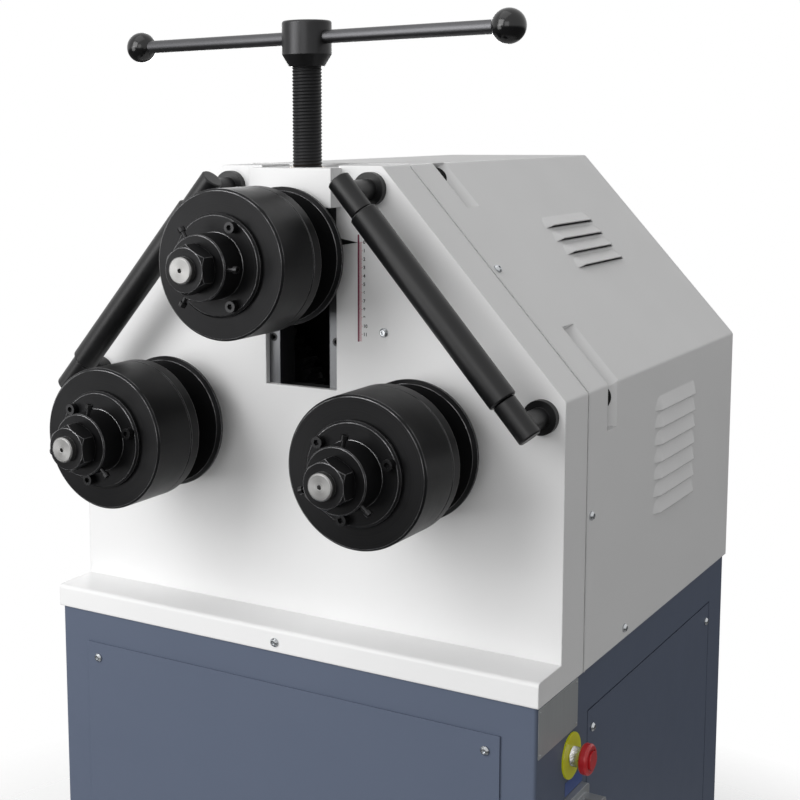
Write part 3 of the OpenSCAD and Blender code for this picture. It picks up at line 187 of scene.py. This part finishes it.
def milled_steel(name, colour, roughness, inputs):
    """Machine steel, milled and ground flat: fine scratches run up and down the faces."""
    scratch_mm, length_mm = 1.2, 60  # real scratches are hair-fine, drawn coarser to show
    depth_mm, edge_mm, spread = 0.01, 0.6, 0.2
    material, tree, link = finish(name, {"Metallic": 1, **inputs})
    place = add(tree, "Mapping", {"Vector": add(tree, "TexCoord", {}, "Object"),
                                  "Scale": (repeats(scratch_mm), repeats(scratch_mm), repeats(length_mm))})
    scratch = add(tree, "TexNoise", {"Vector": place, "Scale": 1, "Detail": 3})
    soft = add(tree, "Bevel", {"Radius": edge_mm * MM}, samples=BEVEL_SAMPLES)
    link("Base Color", add(tree, "Mix", {FACTOR: scratch, COLOUR_A: linear(colour[0]),
                                         COLOUR_B: linear(colour[1])}, COLOUR_OUT, data_type="RGBA"))
    link("Roughness", add(tree, "Math", {0: scratch, 1: spread, 2: roughness - spread / 2},
                          operation="MULTIPLY_ADD"))
    link("Normal", add(tree, "Bump", {"Height": scratch, "Distance": depth_mm * MM, "Normal": soft}))
    return material


def grained(name, colour, roughness, grain_mm, depth_mm, edge_mm, inputs):
    """A cast, moulded or sprayed skin: round grain of one size, two close tones, softened edges."""
    cloud_grains, spread = 12, 0.16
    material, tree, link = finish(name, inputs)
    place = add(tree, "TexCoord", {}, "Object")
    grain = add(tree, "TexNoise", {"Vector": place, "Scale": repeats(grain_mm), "Detail": 3})
    cloud = add(tree, "TexNoise", {"Vector": place, "Scale": repeats(cloud_grains * grain_mm), "Detail": 3})
    soft = add(tree, "Bevel", {"Radius": edge_mm * MM}, samples=BEVEL_SAMPLES)
    link("Base Color", add(tree, "Mix", {FACTOR: cloud, COLOUR_A: linear(colour[0]),
                                         COLOUR_B: linear(colour[1])}, COLOUR_OUT, data_type="RGBA"))
    link("Roughness", add(tree, "Math", {0: cloud, 1: spread, 2: roughness - spread / 2},
                          operation="MULTIPLY_ADD"))
    link("Normal", add(tree, "Bump", {"Height": grain, "Distance": depth_mm * MM, "Normal": soft}))
    return material


roll_axes = {side: sum(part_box(side + "_front_ring"), Vector()) / 2 for side in ("left", "right", "top")}
# Black oxide: turned tool steel blackened in a hot salt bath and oiled, a satin black with a steel sheen
# Its pale edge colour is partly wear and partly a painted highlight of the chamfers
black_oxide = {side: turned_steel("black_oxide_" + side, ("#121213", "#1E1E1F"), "#C6C6C8", 0.4, axis,
                                  {"Metallic": 0.4, "Specular IOR Level": 0.16})
               for side, axis in roll_axes.items()}
# Bright turned steel: the shafts' bare ends, straight from the lathe
# Its pale edge colour is partly wear and partly a painted highlight of the chamfers
bright_steel = {side: turned_steel("bright_turned_steel_" + side, ("#7E7E7E", "#9A9997"), "#B9B9B9", 0.46,
                                   axis, {"Metallic": 1})
                for side, axis in roll_axes.items()}
finishes = {
    # Gloss white powder coat on the head's folded sheet
    "white_paint": powder_coat("white_powder_coat", "#EDEDED", 0.38, 0.3, 2.5),
    # Satin blue-grey powder coat on the cabinet
    "blue_grey_paint": powder_coat("blue_grey_powder_coat", "#5B6476", 0.48, 0.2, 0.8),
    # Machine steel of the slide and the frame plates, ground flat: grey, with fine scratches
    "frame_steel": milled_steel("ground_steel", ("#6A6B6D", "#7E7F81"), 0.46, {}),
    # Hardened bearing steel, ground brighter than the plates
    "turned_steel": milled_steel("bearing_steel", ("#A9ABAD", "#BDBFC1"), 0.3, {}),
    # Black baked enamel on round steel: satin, with a soft broad highlight
    "satin_black": grained("black_enamel", ("#0F0F10", "#161617"), 0.38, 1.5, 0.012, 1.0,
                           {"Specular IOR Level": 0.36}),
    # Black phenolic: moulded and tumbled to a gloss
    "gloss_black": grained("black_phenolic", ("#0C0C0D", "#111112"), 0.16, 4, 0.004, 0.5,
                           {"Specular IOR Level": 0.45}),
    # Zinc plate on steel screws: bright, slightly blue and cloudy
    "zinc": grained("zinc_plate", ("#A9ACAF", "#C2C5C8"), 0.25, 1.2, 0.01, 0.5, {"Metallic": 1}),
    # Blackened alloy-steel screws, lightly oiled
    "dark_screws": grained("blackened_screw_steel", ("#1C1C1D", "#2A2A2B"), 0.28, 1, 0.008, 0.4,
                           {"Metallic": 0.7}),
    # Tin bronze, turned, dulled by oil
    "bronze": grained("tin_bronze", ("#8D6533", "#A97B42"), 0.36, 1.5, 0.01, 0.5, {"Metallic": 1}),
    # Grey cast iron, machined and left bare
    "cast_caps": grained("grey_cast_iron", ("#3C3D3F", "#4B4C4E"), 0.46, 1.2, 0.02, 0.8, {"Metallic": 1}),
    # Zinc die-casting, tumbled to a fine matt grain
    "cast_alloy": grained("zinc_die_casting", ("#96999C", "#A6A9AC"), 0.45, 1.2, 0.02, 1.2,
                          {"Metallic": 0.6}),
    # Air-dried machine enamel over a rough casting
    "motor_paint": grained("machine_enamel", ("#424C57", "#4C5763"), 0.45, 2.5, 0.05, 1.0, {}),
    # ABS legend disc, moulded in yellow
    "estop_yellow": grained("yellow_abs", ("#DDE010", "#E8EA1C"), 0.38, 1.2, 0.008, 0.5, {}),
    # Nylon push button, moulded in red
    "estop_red": grained("red_nylon", ("#BC1821", "#CE232B"), 0.34, 1.2, 0.01, 0.6,
                         {"Coat Weight": 0.15}),
}
# Rolled sheet aluminium of the bare plate, brushed upwards to a dull sheen
sheet_aluminium = milled_steel("brushed_aluminium", ("#989B9D", "#AFB2B3"), 0.42, {"Metallic": 0.3})
# Printed vinyl: a plain blue field, and the scale's red, pink and black inks
blue_vinyl = grained("blue_vinyl", ("#2F4A8C", "#395598"), 0.4, 1.5, 0.006, 0.2, {})
red_ink = grained("red_ink", ("#6F2A40", "#833C52"), 0.5, 1.5, 0.004, 0.1, {})
pink_ink = grained("pink_ink", ("#B0586C", "#C0707F"), 0.5, 1.5, 0.004, 0.1, {})
black_ink = grained("black_ink", ("#151415", "#1D1B1C"), 0.5, 1.5, 0.004, 0.1, {})
# Nickel plate on the stop's neck, bright from the bath
nickel_plate = grained("nickel_plate", ("#C4C5C6", "#D8D8D8"), 0.24, 1.2, 0.006, 0.3, {"Metallic": 1})
# Rolled thread of the lead screw, blackened and wiped with oil
thread_steel = grained("blackened_thread_steel", ("#1A1A1B", "#262627"), 0.45, 1.2, 0.008, 0.2,
                       {"Metallic": 0.4, "Specular IOR Level": 0.2})
# Black nylon of the socket's insert
black_nylon = grained("black_nylon", ("#131313", "#1B1B1B"), 0.42, 1, 0.01, 0.4, {})
# Black foam rubber, dull: the ends of the guide posts, and a black strip in the seam that is painted shade
# for its gap
black_foam_and_seam_shade = grained("black_foam_and_seam_shade", ("#0B0B0B", "#101010"), 0.8, 1, 0.02, 0.2, {"Specular IOR Level": 0.1})
# Blackened and oiled steel with a soft sheen: the handle's drawn bar and turned hub, the guides' axles
oiled_steel = {
    "handle_bar": grained("handled_bar_steel", ("#525254", "#5E5E60"), 0.4, 8, 0.003, 0.5, {"Metallic": 1}),
    "guide_axles": grained("blackened_axle_steel", ("#262627", "#333334"), 0.4, 1.5, 0.008, 0.5,
                           {"Metallic": 0.6}),
    "handle_hub": grained("handled_hub_steel", ("#2C2C2D", "#39393A"), 0.34, 1.5, 0.008, 0.8,
                          {"Metallic": 0.8}),
}


def dress_solids():
    """Gives each solid its own finish or its slot's; turned pieces take the one about their roll's axis."""
    for part in record["subparts"]:
        side = part["node"].split("_")[0]
        sided = {"black_oxide": black_oxide, "turned_steel": bright_steel}.get(part["material_slot"], {})
        solid = frame["nodes"][part["node"]].data
        solid.materials.clear()
        own = oiled_steel.get(part["node"]) or sided.get(side)
        solid.materials.append(own or finishes.get(part["material_slot"]) or black_oxide["top"])


# Surfaces; the columns of these are a piece's own X, Y and Z when its Z points that way
UP = np.eye(3)
RIGHT = np.array([[0, 0, 1], [1, 0, 0], [0, 1, 0]])
FRONT = np.array([[1, 0, 0], [0, 0, -1], [0, 1, 0]])
BACK = np.array([[1, 0, 0], [0, 0, 1], [0, -1, 0]])
SHARP_DEG = 40
PLATE_COLUMNS = 8
DOME_COLUMNS, DOME_END_SHARE = 16, 0.98


def round_angles(columns):
    """Angles of so many columns, evenly spaced round a full turn."""
    return np.linspace(0, 2 * np.pi, columns, endpoint=False)


def quads(rows, columns):
    """Faces of a grid whose columns close into a ring: a point, its neighbours and the one across."""
    i, j = np.meshgrid(np.arange(rows - 1), np.arange(columns), indexing="ij")
    k = (j + 1) % columns
    corners = [i * columns + j, i * columns + k, (i + 1) * columns + k, (i + 1) * columns + j]
    return np.stack(corners, -1).reshape(-1, 4)


def ring_piece(rings):
    """Closed piece from rings of points (rows, columns, 3): faces between neighbours, a lid on each end."""
    rows, columns = rings.shape[:2]
    lids = [np.arange(columns)[::-1].tolist(), (np.arange(columns) + (rows - 1) * columns).tolist()]
    return rings.reshape(-1, 3) * MM, quads(rows, columns).tolist() + lids


def turned(radius, height, columns):
    """Surface of revolution about Z: a radius for each height, the same all round or by the angle."""
    angle = round_angles(columns)
    radius = np.broadcast_to(np.asarray(radius, float).reshape(len(height), -1), (len(height), columns))
    height = np.broadcast_to(np.asarray(height, float)[:, None], radius.shape)
    return ring_piece(np.stack([radius * np.cos(angle), radius * np.sin(angle), height], -1))


def dome(diameter, base, height, rows):
    """Turned dome: its radius follows a quarter circle of its rise, up to a small flat top."""
    rise = np.linspace(0, DOME_END_SHARE, rows)
    return turned(diameter / 2 * np.sqrt(1 - rise ** 2), base + rise * height, DOME_COLUMNS)


def rounded_plate(width, height, corner, steps, columns=PLATE_COLUMNS):
    """Plate from rounded rectangles: each step gives how far its ring is set in and how high it lies."""
    turn = np.radians(np.arange(4)[:, None] * 90 + np.linspace(0, 90, columns))
    signs = np.array([[1, 1], [-1, 1], [-1, -1], [1, -1]])
    middles = signs * (np.array([width, height]) / 2 - corner)
    inset, lift = np.asarray(steps, float).T[:, :, None, None]
    x = middles[:, 0, None] + (corner - inset) * np.cos(turn)
    y = middles[:, 1, None] + (corner - inset) * np.sin(turn)
    return ring_piece(np.stack([x, y, np.broadcast_to(lift, x.shape)], -1).reshape(len(steps), -1, 3))


def copies(piece, places):
    """The same piece at several places, in millimetres from its own origin."""
    points, faces = piece
    shifts = np.asarray(places, float) * MM
    moved = (points[None] + shifts[:, None]).reshape(-1, 3)
    return moved, [[corner + k * len(points) for corner in face]
                   for k in range(len(shifts)) for face in faces]


def stand(name, piece, place, axes, body, material):
    """Puts a piece at a place in the frame, its own Z along the third of the axes, riding on a body."""
    points, faces = piece
    mesh = bpy.data.meshes.new(name)
    mesh.from_pydata((points @ axes.T + np.array(place)).tolist(), [], faces)
    mesh.polygons.foreach_set("use_smooth", np.ones(len(mesh.polygons), bool))
    mesh.set_sharp_from_angle(angle=math.radians(SHARP_DEG))
    mesh.materials.append(material)
    item = bpy.data.objects.new(name, mesh)
    scene.collection.objects.link(item)
    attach(item, body)
    return item


# Lead screw: a thread along the whole bar, which turns in the carriage on its journal
THREAD_PITCH, THREAD_DEPTH, THREAD_FADE = 4, 1.1, 5
THREAD_COLUMNS, ROWS_PER_PITCH, FLANK_SLOPE, ROOT_SHARE = 72, 9, 2.6, 0.15
JOURNAL_D, JOURNAL_L = 24, 18.3


def make_lead_screw():
    """Radius at an angle and a height: the crest less the depth times a flat-topped wave of the height in
    pitches less the angle in turns, with the wave fading out at both ends of the thread."""
    low, high = (np.array(corner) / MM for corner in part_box("lead_screw"))
    crest, length = (high[0] - low[0]) / 2, high[2] - low[2]
    height = np.linspace(JOURNAL_L, length, int((length - JOURNAL_L) / THREAD_PITCH * ROWS_PER_PITCH))
    turn = np.linspace(0, 1, THREAD_COLUMNS, endpoint=False)
    phase = (height[:, None] / THREAD_PITCH - turn) % 1
    wave = np.clip(FLANK_SLOPE * np.abs(phase - 0.5) - ROOT_SHARE, 0, 1)
    fade = np.clip(np.minimum(height - JOURNAL_L, length - height) / THREAD_FADE, 0, 1)
    thread = crest - THREAD_DEPTH * (1 - wave) * fade[:, None]
    journal = np.full((2, THREAD_COLUMNS), JOURNAL_D / 2)
    screw = turned(np.vstack([journal, thread]), np.concatenate([[0, JOURNAL_L], height]), THREAD_COLUMNS)
    place = ((low[0] + high[0]) / 2 * MM, (low[1] + high[1]) / 2 * MM, low[2] * MM)
    item = stand("lead_screw_thread", screw, place, UP, "hand_screw", thread_steel)
    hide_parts("lead_screw")


# Scale beside the slide: a red line with millimetre ticks and a number at each centimetre
SCALE_X, SCALE_TOP, SCALE_BOTTOM, SCALE_ZERO, NUMBER_STEP = 81.5, 509, 381, 500, 10
LINE_W, LINE_CORNER, PRINT_T = 2.2, 0.3, 0.12
TICK_L, LONG_TICK_L, TICK_W, TICK_CORNER, TICK_COLUMNS = 3.2, 4.6, 0.45, 0.1, 2
NUMBER_SIZE, NUMBER_BOLD, NUMBER_GAP = 5.6, 0.16, 0.8


def number_shape(number):
    """Flat outline of a number, as points in metres and faces, with its middle on the X axis."""
    letters = bpy.data.curves.new("number", "FONT")
    letters.body, letters.size, letters.align_y = str(number), NUMBER_SIZE, "CENTER"
    letters.offset = NUMBER_BOLD
    sign = bpy.data.objects.new("number", letters)
    flat = bpy.data.meshes.new_from_object(sign)
    points = np.empty((len(flat.vertices), 3), np.float32)
    flat.vertices.foreach_get("co", points.ravel())
    faces = [list(face.vertices) for face in flat.polygons]
    bpy.data.objects.remove(sign)
    bpy.data.curves.remove(letters)
    bpy.data.meshes.remove(flat)
    return points.astype(float) * MM, faces


def make_scale():
    """Prints: thin rounded bars, the ticks being copies of one bar a millimetre apart, and numbers."""
    zero = np.array([SCALE_X * MM, face_y, foot_z + SCALE_ZERO * MM])
    film = [(0, 0), (0, PRINT_T)]
    line = rounded_plate(LINE_W, SCALE_TOP - SCALE_BOTTOM, LINE_CORNER, film)
    middle = zero + np.array([0, 0, ((SCALE_TOP + SCALE_BOTTOM) / 2 - SCALE_ZERO) * MM])
    stand("scale_line", line, middle, FRONT, "machine", red_ink)
    steps = np.arange(0, SCALE_ZERO - SCALE_BOTTOM)
    for name, length, chosen in (("scale_ticks", TICK_L, steps % NUMBER_STEP > 0),
                                 ("scale_long_ticks", LONG_TICK_L, steps % NUMBER_STEP == 0)):
        tick = rounded_plate(length, TICK_W, TICK_CORNER, film, TICK_COLUMNS)
        down = -steps[chosen].astype(float)
        side = np.full_like(down, (LINE_W + length) / 2)
        marks = copies(tick, np.stack([side, down, np.zeros_like(down)], -1))
        stand(name, marks, zero, FRONT, "machine", pink_ink)
    for number in range((SCALE_ZERO - SCALE_BOTTOM) // NUMBER_STEP + 1):
        points, faces = number_shape(number)
        right, down = LINE_W / 2 + LONG_TICK_L + NUMBER_GAP, -float(NUMBER_STEP) * number
        shift = np.array([right, down, PRINT_T]) * MM
        stand(f"scale_number_{number}", (points + shift, faces), zero, FRONT, "machine",
              black_ink)


# Right wall: a bare aluminium plate under the lip, and a plain label between the stop and the socket
PLATE_W, PLATE_H, PLATE_Y, PLATE_Z, PLATE_T, PLATE_CORNER, PLATE_EDGE = 116, 59, 0, -33, 0.8, 2, 0.3
RIVET_D, RIVET_H, RIVET_INSET, RIVET_ROWS = 3.6, 1.1, 4.5, 6
LABEL_W, LABEL_H, LABEL_Z, LABEL_T, LABEL_CORNER = 54, 17, -129.5, 0.3, 2


def make_wall_plates():
    """Plates of rounded outlines, the bare one with an eased edge and a domed rivet in each corner."""
    plate = rounded_plate(PLATE_W, PLATE_H, PLATE_CORNER,
                          [(0, 0), (0, PLATE_T - PLATE_EDGE), (PLATE_EDGE, PLATE_T)])
    place = Vector((wall_x, face_y + PLATE_Y * MM, foot_z + PLATE_Z * MM))
    stand("bare_plate", plate, place, RIGHT, "machine", sheet_aluminium)
    x, y = PLATE_W / 2 - RIVET_INSET, PLATE_H / 2 - RIVET_INSET
    rivet = dome(RIVET_D, PLATE_T, RIVET_H, RIVET_ROWS)
    rivets = copies(rivet, [[x, y, 0], [-x, y, 0], [-x, -y, 0], [x, -y, 0]])
    stand("plate_rivets", rivets, place, RIGHT, "machine", sheet_aluminium)
    label = rounded_plate(LABEL_W, LABEL_H, LABEL_CORNER, [(0, 0), (0, LABEL_T)])
    low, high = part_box("pedal_socket")
    stand("plain_label", label, (wall_x, (low.y + high.y) / 2, foot_z + LABEL_Z * MM), RIGHT, "machine",
          blue_vinyl)


# Emergency stop's ribbed neck ring, with a plain collar at each end
NECK_D, NECK_L, NECK_START, NECK_RIBS, NECK_RIB, COLUMNS_PER_RIB = 22, 13.8, 2, 40, 0.5, 4
COLLAR_HEIGHTS, COLLAR_FLARES, COLLAR_RIB_SHARES = [0, 0.8, 1.4, 1.6], [0.2, 0.7, 0.7, 0.2], [0, 0, 0, 1]
# Insert in the pedal socket: how far each ring is set in from its edge and down from its top
INSERT_D, INSERT_T, INSERT_RECESS, INSERT_COLUMNS, INSERT_CENTRE_R, INSERT_FLOOR = 37.6, 2.2, 3, 64, 1, 1.2
INSERT_RINGS = [(0, INSERT_T), (0, 0.4), (0.6, 0), (3.4, 0), (3.8, 1), (4.2, INSERT_FLOOR),
                (INSERT_D / 2 - INSERT_CENTRE_R, INSERT_FLOOR)]
PIN_D, PIN_CIRCLE_D, PIN_COUNT, PIN_ROWS = 3.2, 20.9, 5, 5


def make_control_pieces():
    """The neck's radius is its own plus a rib's height times a squared-off wave of the angle; the insert
    is turned, and its contacts are small domes on a circle."""
    columns = COLUMNS_PER_RIB * NECK_RIBS
    rib = NECK_RIB * np.clip(0.5 + np.cos(NECK_RIBS * round_angles(columns)), 0, 1)
    collar = np.array(COLLAR_HEIGHTS)
    height = np.concatenate([collar, NECK_L - collar[::-1]])
    share = np.array(COLLAR_RIB_SHARES + COLLAR_RIB_SHARES[::-1])[:, None]
    flare = np.array(COLLAR_FLARES + COLLAR_FLARES[::-1])[:, None]
    low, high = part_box("estop_head")
    middle = Vector((wall_x + NECK_START * MM, (low.y + high.y) / 2, (low.z + high.z) / 2))
    neck = turned(NECK_D / 2 + flare + share * rib, height, columns)
    stand("stop_neck", neck, middle, RIGHT, "machine", nickel_plate)
    low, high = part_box("pedal_socket")
    middle = Vector((high.x - INSERT_RECESS * MM, (low.y + high.y) / 2, (low.z + high.z) / 2))
    inset, drop = np.array(INSERT_RINGS).T
    insert = turned(INSERT_D / 2 - inset, INSERT_T - drop, INSERT_COLUMNS)
    stand("socket_insert", insert, middle, RIGHT, "machine", black_nylon)
    pin = dome(PIN_D, INSERT_T - INSERT_FLOOR, PIN_D / 2, PIN_ROWS)
    turn = np.arange(PIN_COUNT) * 2 * np.pi / PIN_COUNT
    places = np.stack([np.sin(turn), np.cos(turn), 0 * turn], -1) * PIN_CIRCLE_D / 2
    stand("socket_contacts", copies(pin, places), middle, RIGHT, "machine", finishes["bronze"])


# Socket-head screws of the two bearing caps behind the lower rolls
CAP_SCREW_D, CAP_SCREW_H, CAP_SCREW_EDGE, CAP_SCREW_SOCKET, CAP_SCREW_COLUMNS = 10, 6, 0.6, 5, 48
CAP_SCREW_CIRCLE_D, CAP_SCREW_COUNT, HEXAGON_DEG = 84, 4, 60


def make_cap_screws():
    """A turned head whose inner rings are hexagons: half the flats over the cosine of the angle from a
    flat."""
    angle = np.degrees(round_angles(CAP_SCREW_COLUMNS))
    from_flat = (angle + HEXAGON_DEG / 2) % HEXAGON_DEG - HEXAGON_DEG / 2
    hexagon = CAP_SCREW_SOCKET / 2 / np.cos(np.radians(from_flat))
    side = np.full(CAP_SCREW_COLUMNS, CAP_SCREW_D / 2)
    head = turned(np.stack([side, side, side - CAP_SCREW_EDGE, hexagon, hexagon]),
                  [0, CAP_SCREW_H - CAP_SCREW_EDGE, CAP_SCREW_H, CAP_SCREW_H, CAP_SCREW_H / 2],
                  CAP_SCREW_COLUMNS)
    turn = (np.arange(CAP_SCREW_COUNT) + 0.5) * 2 * np.pi / CAP_SCREW_COUNT
    circle = np.stack([np.cos(turn), np.sin(turn), 0 * turn], -1) * CAP_SCREW_CIRCLE_D / 2
    for roll in ("left", "right"):
        place = Vector((roll_axes[roll].x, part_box("bearing_caps")[0].y, roll_axes[roll].z))
        stand(roll + "_cap_screws", copies(head, circle), place, FRONT, "machine",
              finishes["dark_screws"])


# Seam between the cover and the hood, along the head's folded outline: a black strip in it is painted
# shade for the gap, and the hood's front edge beside it is folded over and stands a little proud
HEAD_W, HEAD_TOP_W, HEAD_H, SHOULDER_H, SEAM_Y, SEAM_W = 690, 226, 590, 332, 66, 1.5
# Black strip of painted shade in the seam: how far it is set in and how thick it is
SHADE_STRIP_INSET, SHADE_STRIP_T = 1.2, 1.6
EDGE_RISE, EDGE_ROOT, EDGE_RUN = 1.1, 0.6, 4


def head_outline(inset):
    """Corners of the head's outline as (x, z), from foot to foot, every edge set in by one distance."""
    run, rise = (HEAD_W - HEAD_TOP_W) / 2, HEAD_H - SHOULDER_H
    nx, nz = np.array([rise, run]) / math.hypot(run, rise)
    side = HEAD_W / 2 - inset
    top = HEAD_W / 2 - (inset + (rise - inset) * nz) / nx
    half = np.array([[side, 0], [side, SHOULDER_H - inset * (1 - nx) / nz], [top, HEAD_H - inset]])
    return np.vstack([half, half[::-1] * [-1, 1]])


def along_outline(corners):
    """A section carried along the head's outline: each corner gives how far it is set in and its depth."""
    lines = [(head_outline(inset), depth) for inset, depth in corners]
    return ring_piece(np.stack([np.column_stack([line[:, 0], np.full(len(line), depth), line[:, 1]])
                                for line, depth in lines], 1))


def make_seam_trim():
    """The black strip's section is a flat rectangle, painted shade in the seam's gap; the edge's is a thin
    wedge, whose rise is full at the seam and runs out to the back."""
    seam_back, shade_strip_bottom = SEAM_Y + SEAM_W, SHADE_STRIP_INSET + SHADE_STRIP_T
    # Black strip of painted shade that fills the seam's gap
    shade_strip = along_outline([(SHADE_STRIP_INSET, SEAM_Y), (SHADE_STRIP_INSET, seam_back), (shade_strip_bottom, seam_back),
                          (shade_strip_bottom, SEAM_Y)])
    stand("seam_shade_strip", shade_strip, (0, face_y, foot_z), UP, "machine", black_foam_and_seam_shade)
    edge = along_outline([(-EDGE_RISE, seam_back), (-EDGE_RISE, seam_back + EDGE_RISE),
                          (EDGE_ROOT, seam_back + EDGE_RUN), (EDGE_ROOT, seam_back)])
    stand("hood_edge", edge, (0, face_y, foot_z), UP, "machine", finishes["white_paint"])


# Rear ends of the guide posts, which come through the hood's pressed scoops
POST_END_D, POST_END_FROM, POST_END_TO, POST_END_EDGE, POST_END_COLUMNS = 46, 43, 162, 1.5, 48
POST_PLACES = [[99, 563], [317, 313], [-99, 563], [-317, 313]]


def make_post_ends():
    """Straight turned bars along Y with an eased rear edge, one behind each guide post."""
    edge, length = POST_END_D / 2, POST_END_TO - POST_END_FROM
    bar = turned([edge, edge, edge - POST_END_EDGE], [0, length - POST_END_EDGE, length], POST_END_COLUMNS)
    places = [[x, -z, 0] for x, z in POST_PLACES]
    stand("post_ends", copies(bar, places), (0, face_y + POST_END_FROM * MM, foot_z), BACK, "machine",
          black_foam_and_seam_shade)


# Studio, in metres and watts; the surround that gloss shows is white above the horizon and dark below
FLOOR_R, FLOOR_FADE, FLOOR_COLUMNS = 1.15, 0.5, 64
AMBIENT, LOW_SURROUND, HORIZON_LOW, HORIZON_HIGH = 0.34, 0.1, -0.16, 0.02
AIM_RISE = 0.25
SOFTBOXES = [("left_softbox", (-1.9, -2.9, 1.0), 1.5, 26), ("high_softbox", (-0.9, -2.3, 2.1), 1.5, 34),
             ("right_softbox", (0.9, -3.4, 1.9), 1.5, 13), ("top_softbox", (-0.3, -1.0, 3.4), 2.0, 12),
             ("back_softbox", (-1.9, 2.8, 1.2), 1.5, 40)]


def make_floor():
    """Pale round floor that fades out into the white surround."""
    material, tree, _ = finish("pale_floor", {"Base Color": linear("#EFEFEE"), "Roughness": 0.7})
    away = add(tree, "VectorMath", {0: add(tree, "TexCoord", {}, "Object")}, "Value", operation="LENGTH")
    fade = add(tree, "MapRange", {"Value": away, "From Min": FLOOR_FADE, "From Max": FLOOR_R})
    clear = add(tree, "BsdfTransparent", {})
    mixed = add(tree, "MixShader", {0: fade, 1: tree.nodes["Principled BSDF"].outputs[0], 2: clear})
    tree.links.new(mixed, tree.nodes["Material Output"].inputs["Surface"])
    angle = round_angles(FLOOR_COLUMNS)
    mesh = bpy.data.meshes.new("floor")
    mesh.from_pydata((FLOOR_R * np.stack([np.cos(angle), np.sin(angle), 0 * angle], -1)).tolist(), [],
                     [list(range(FLOOR_COLUMNS))])
    mesh.materials.append(material)
    floor = bpy.data.objects.new("floor", mesh)
    scene.collection.objects.link(floor)


def make_light():
    """Square softboxes aimed at the middle of the head, and a surround that is white to the camera, shaded
    below the horizon to gloss and glass, and a plain ambient light to the rest."""
    world = bpy.data.worlds.new("studio")
    scene.world = world
    world.use_nodes = True
    tree = world.node_tree
    seen = add(tree, "LightPath", {}, "Is Camera Ray")
    rays = seen.node.outputs
    mirrored = add(tree, "Math", {0: rays["Is Glossy Ray"], 1: rays["Is Transmission Ray"]},
                   operation="MAXIMUM")
    shown = add(tree, "Math", {0: seen, 1: mirrored}, operation="MAXIMUM")
    rise = add(tree, "SeparateXYZ", {"Vector": add(tree, "TexCoord", {}, "Generated")}, "Z")
    above = add(tree, "MapRange", {"Value": rise, "From Min": HORIZON_LOW, "From Max": HORIZON_HIGH,
                                   "To Min": LOW_SURROUND})
    white = add(tree, "Math", {0: seen, 1: above}, operation="MAXIMUM")
    level = add(tree, "MapRange", {"Value": shown, "To Min": AMBIENT, "To Max": white})
    tree.links.new(level, tree.nodes["Background"].inputs["Strength"])
    tree.nodes["Background"].inputs["Color"].default_value = (1, 1, 1, 1)

    aim = Vector((0, face_y, foot_z + AIM_RISE))
    for name, place, size, power in SOFTBOXES:
        lamp = bpy.data.objects.new(name, bpy.data.lights.new(name, "AREA"))
        lamp.data.size, lamp.data.energy = size, power
        turn = (aim - Vector(place)).to_track_quat("-Z", "Y").to_matrix().to_4x4()
        lamp.matrix_world = Matrix.Translation(Vector(place)) @ turn
        scene.collection.objects.link(lamp)


make_camera()
dress_solids()
make_lead_screw()
make_scale()
make_wall_plates()
make_control_pieces()
make_cap_screws()
make_seam_trim()
make_post_ends()
make_floor()
make_light()
scene.view_settings.view_transform = "Standard"
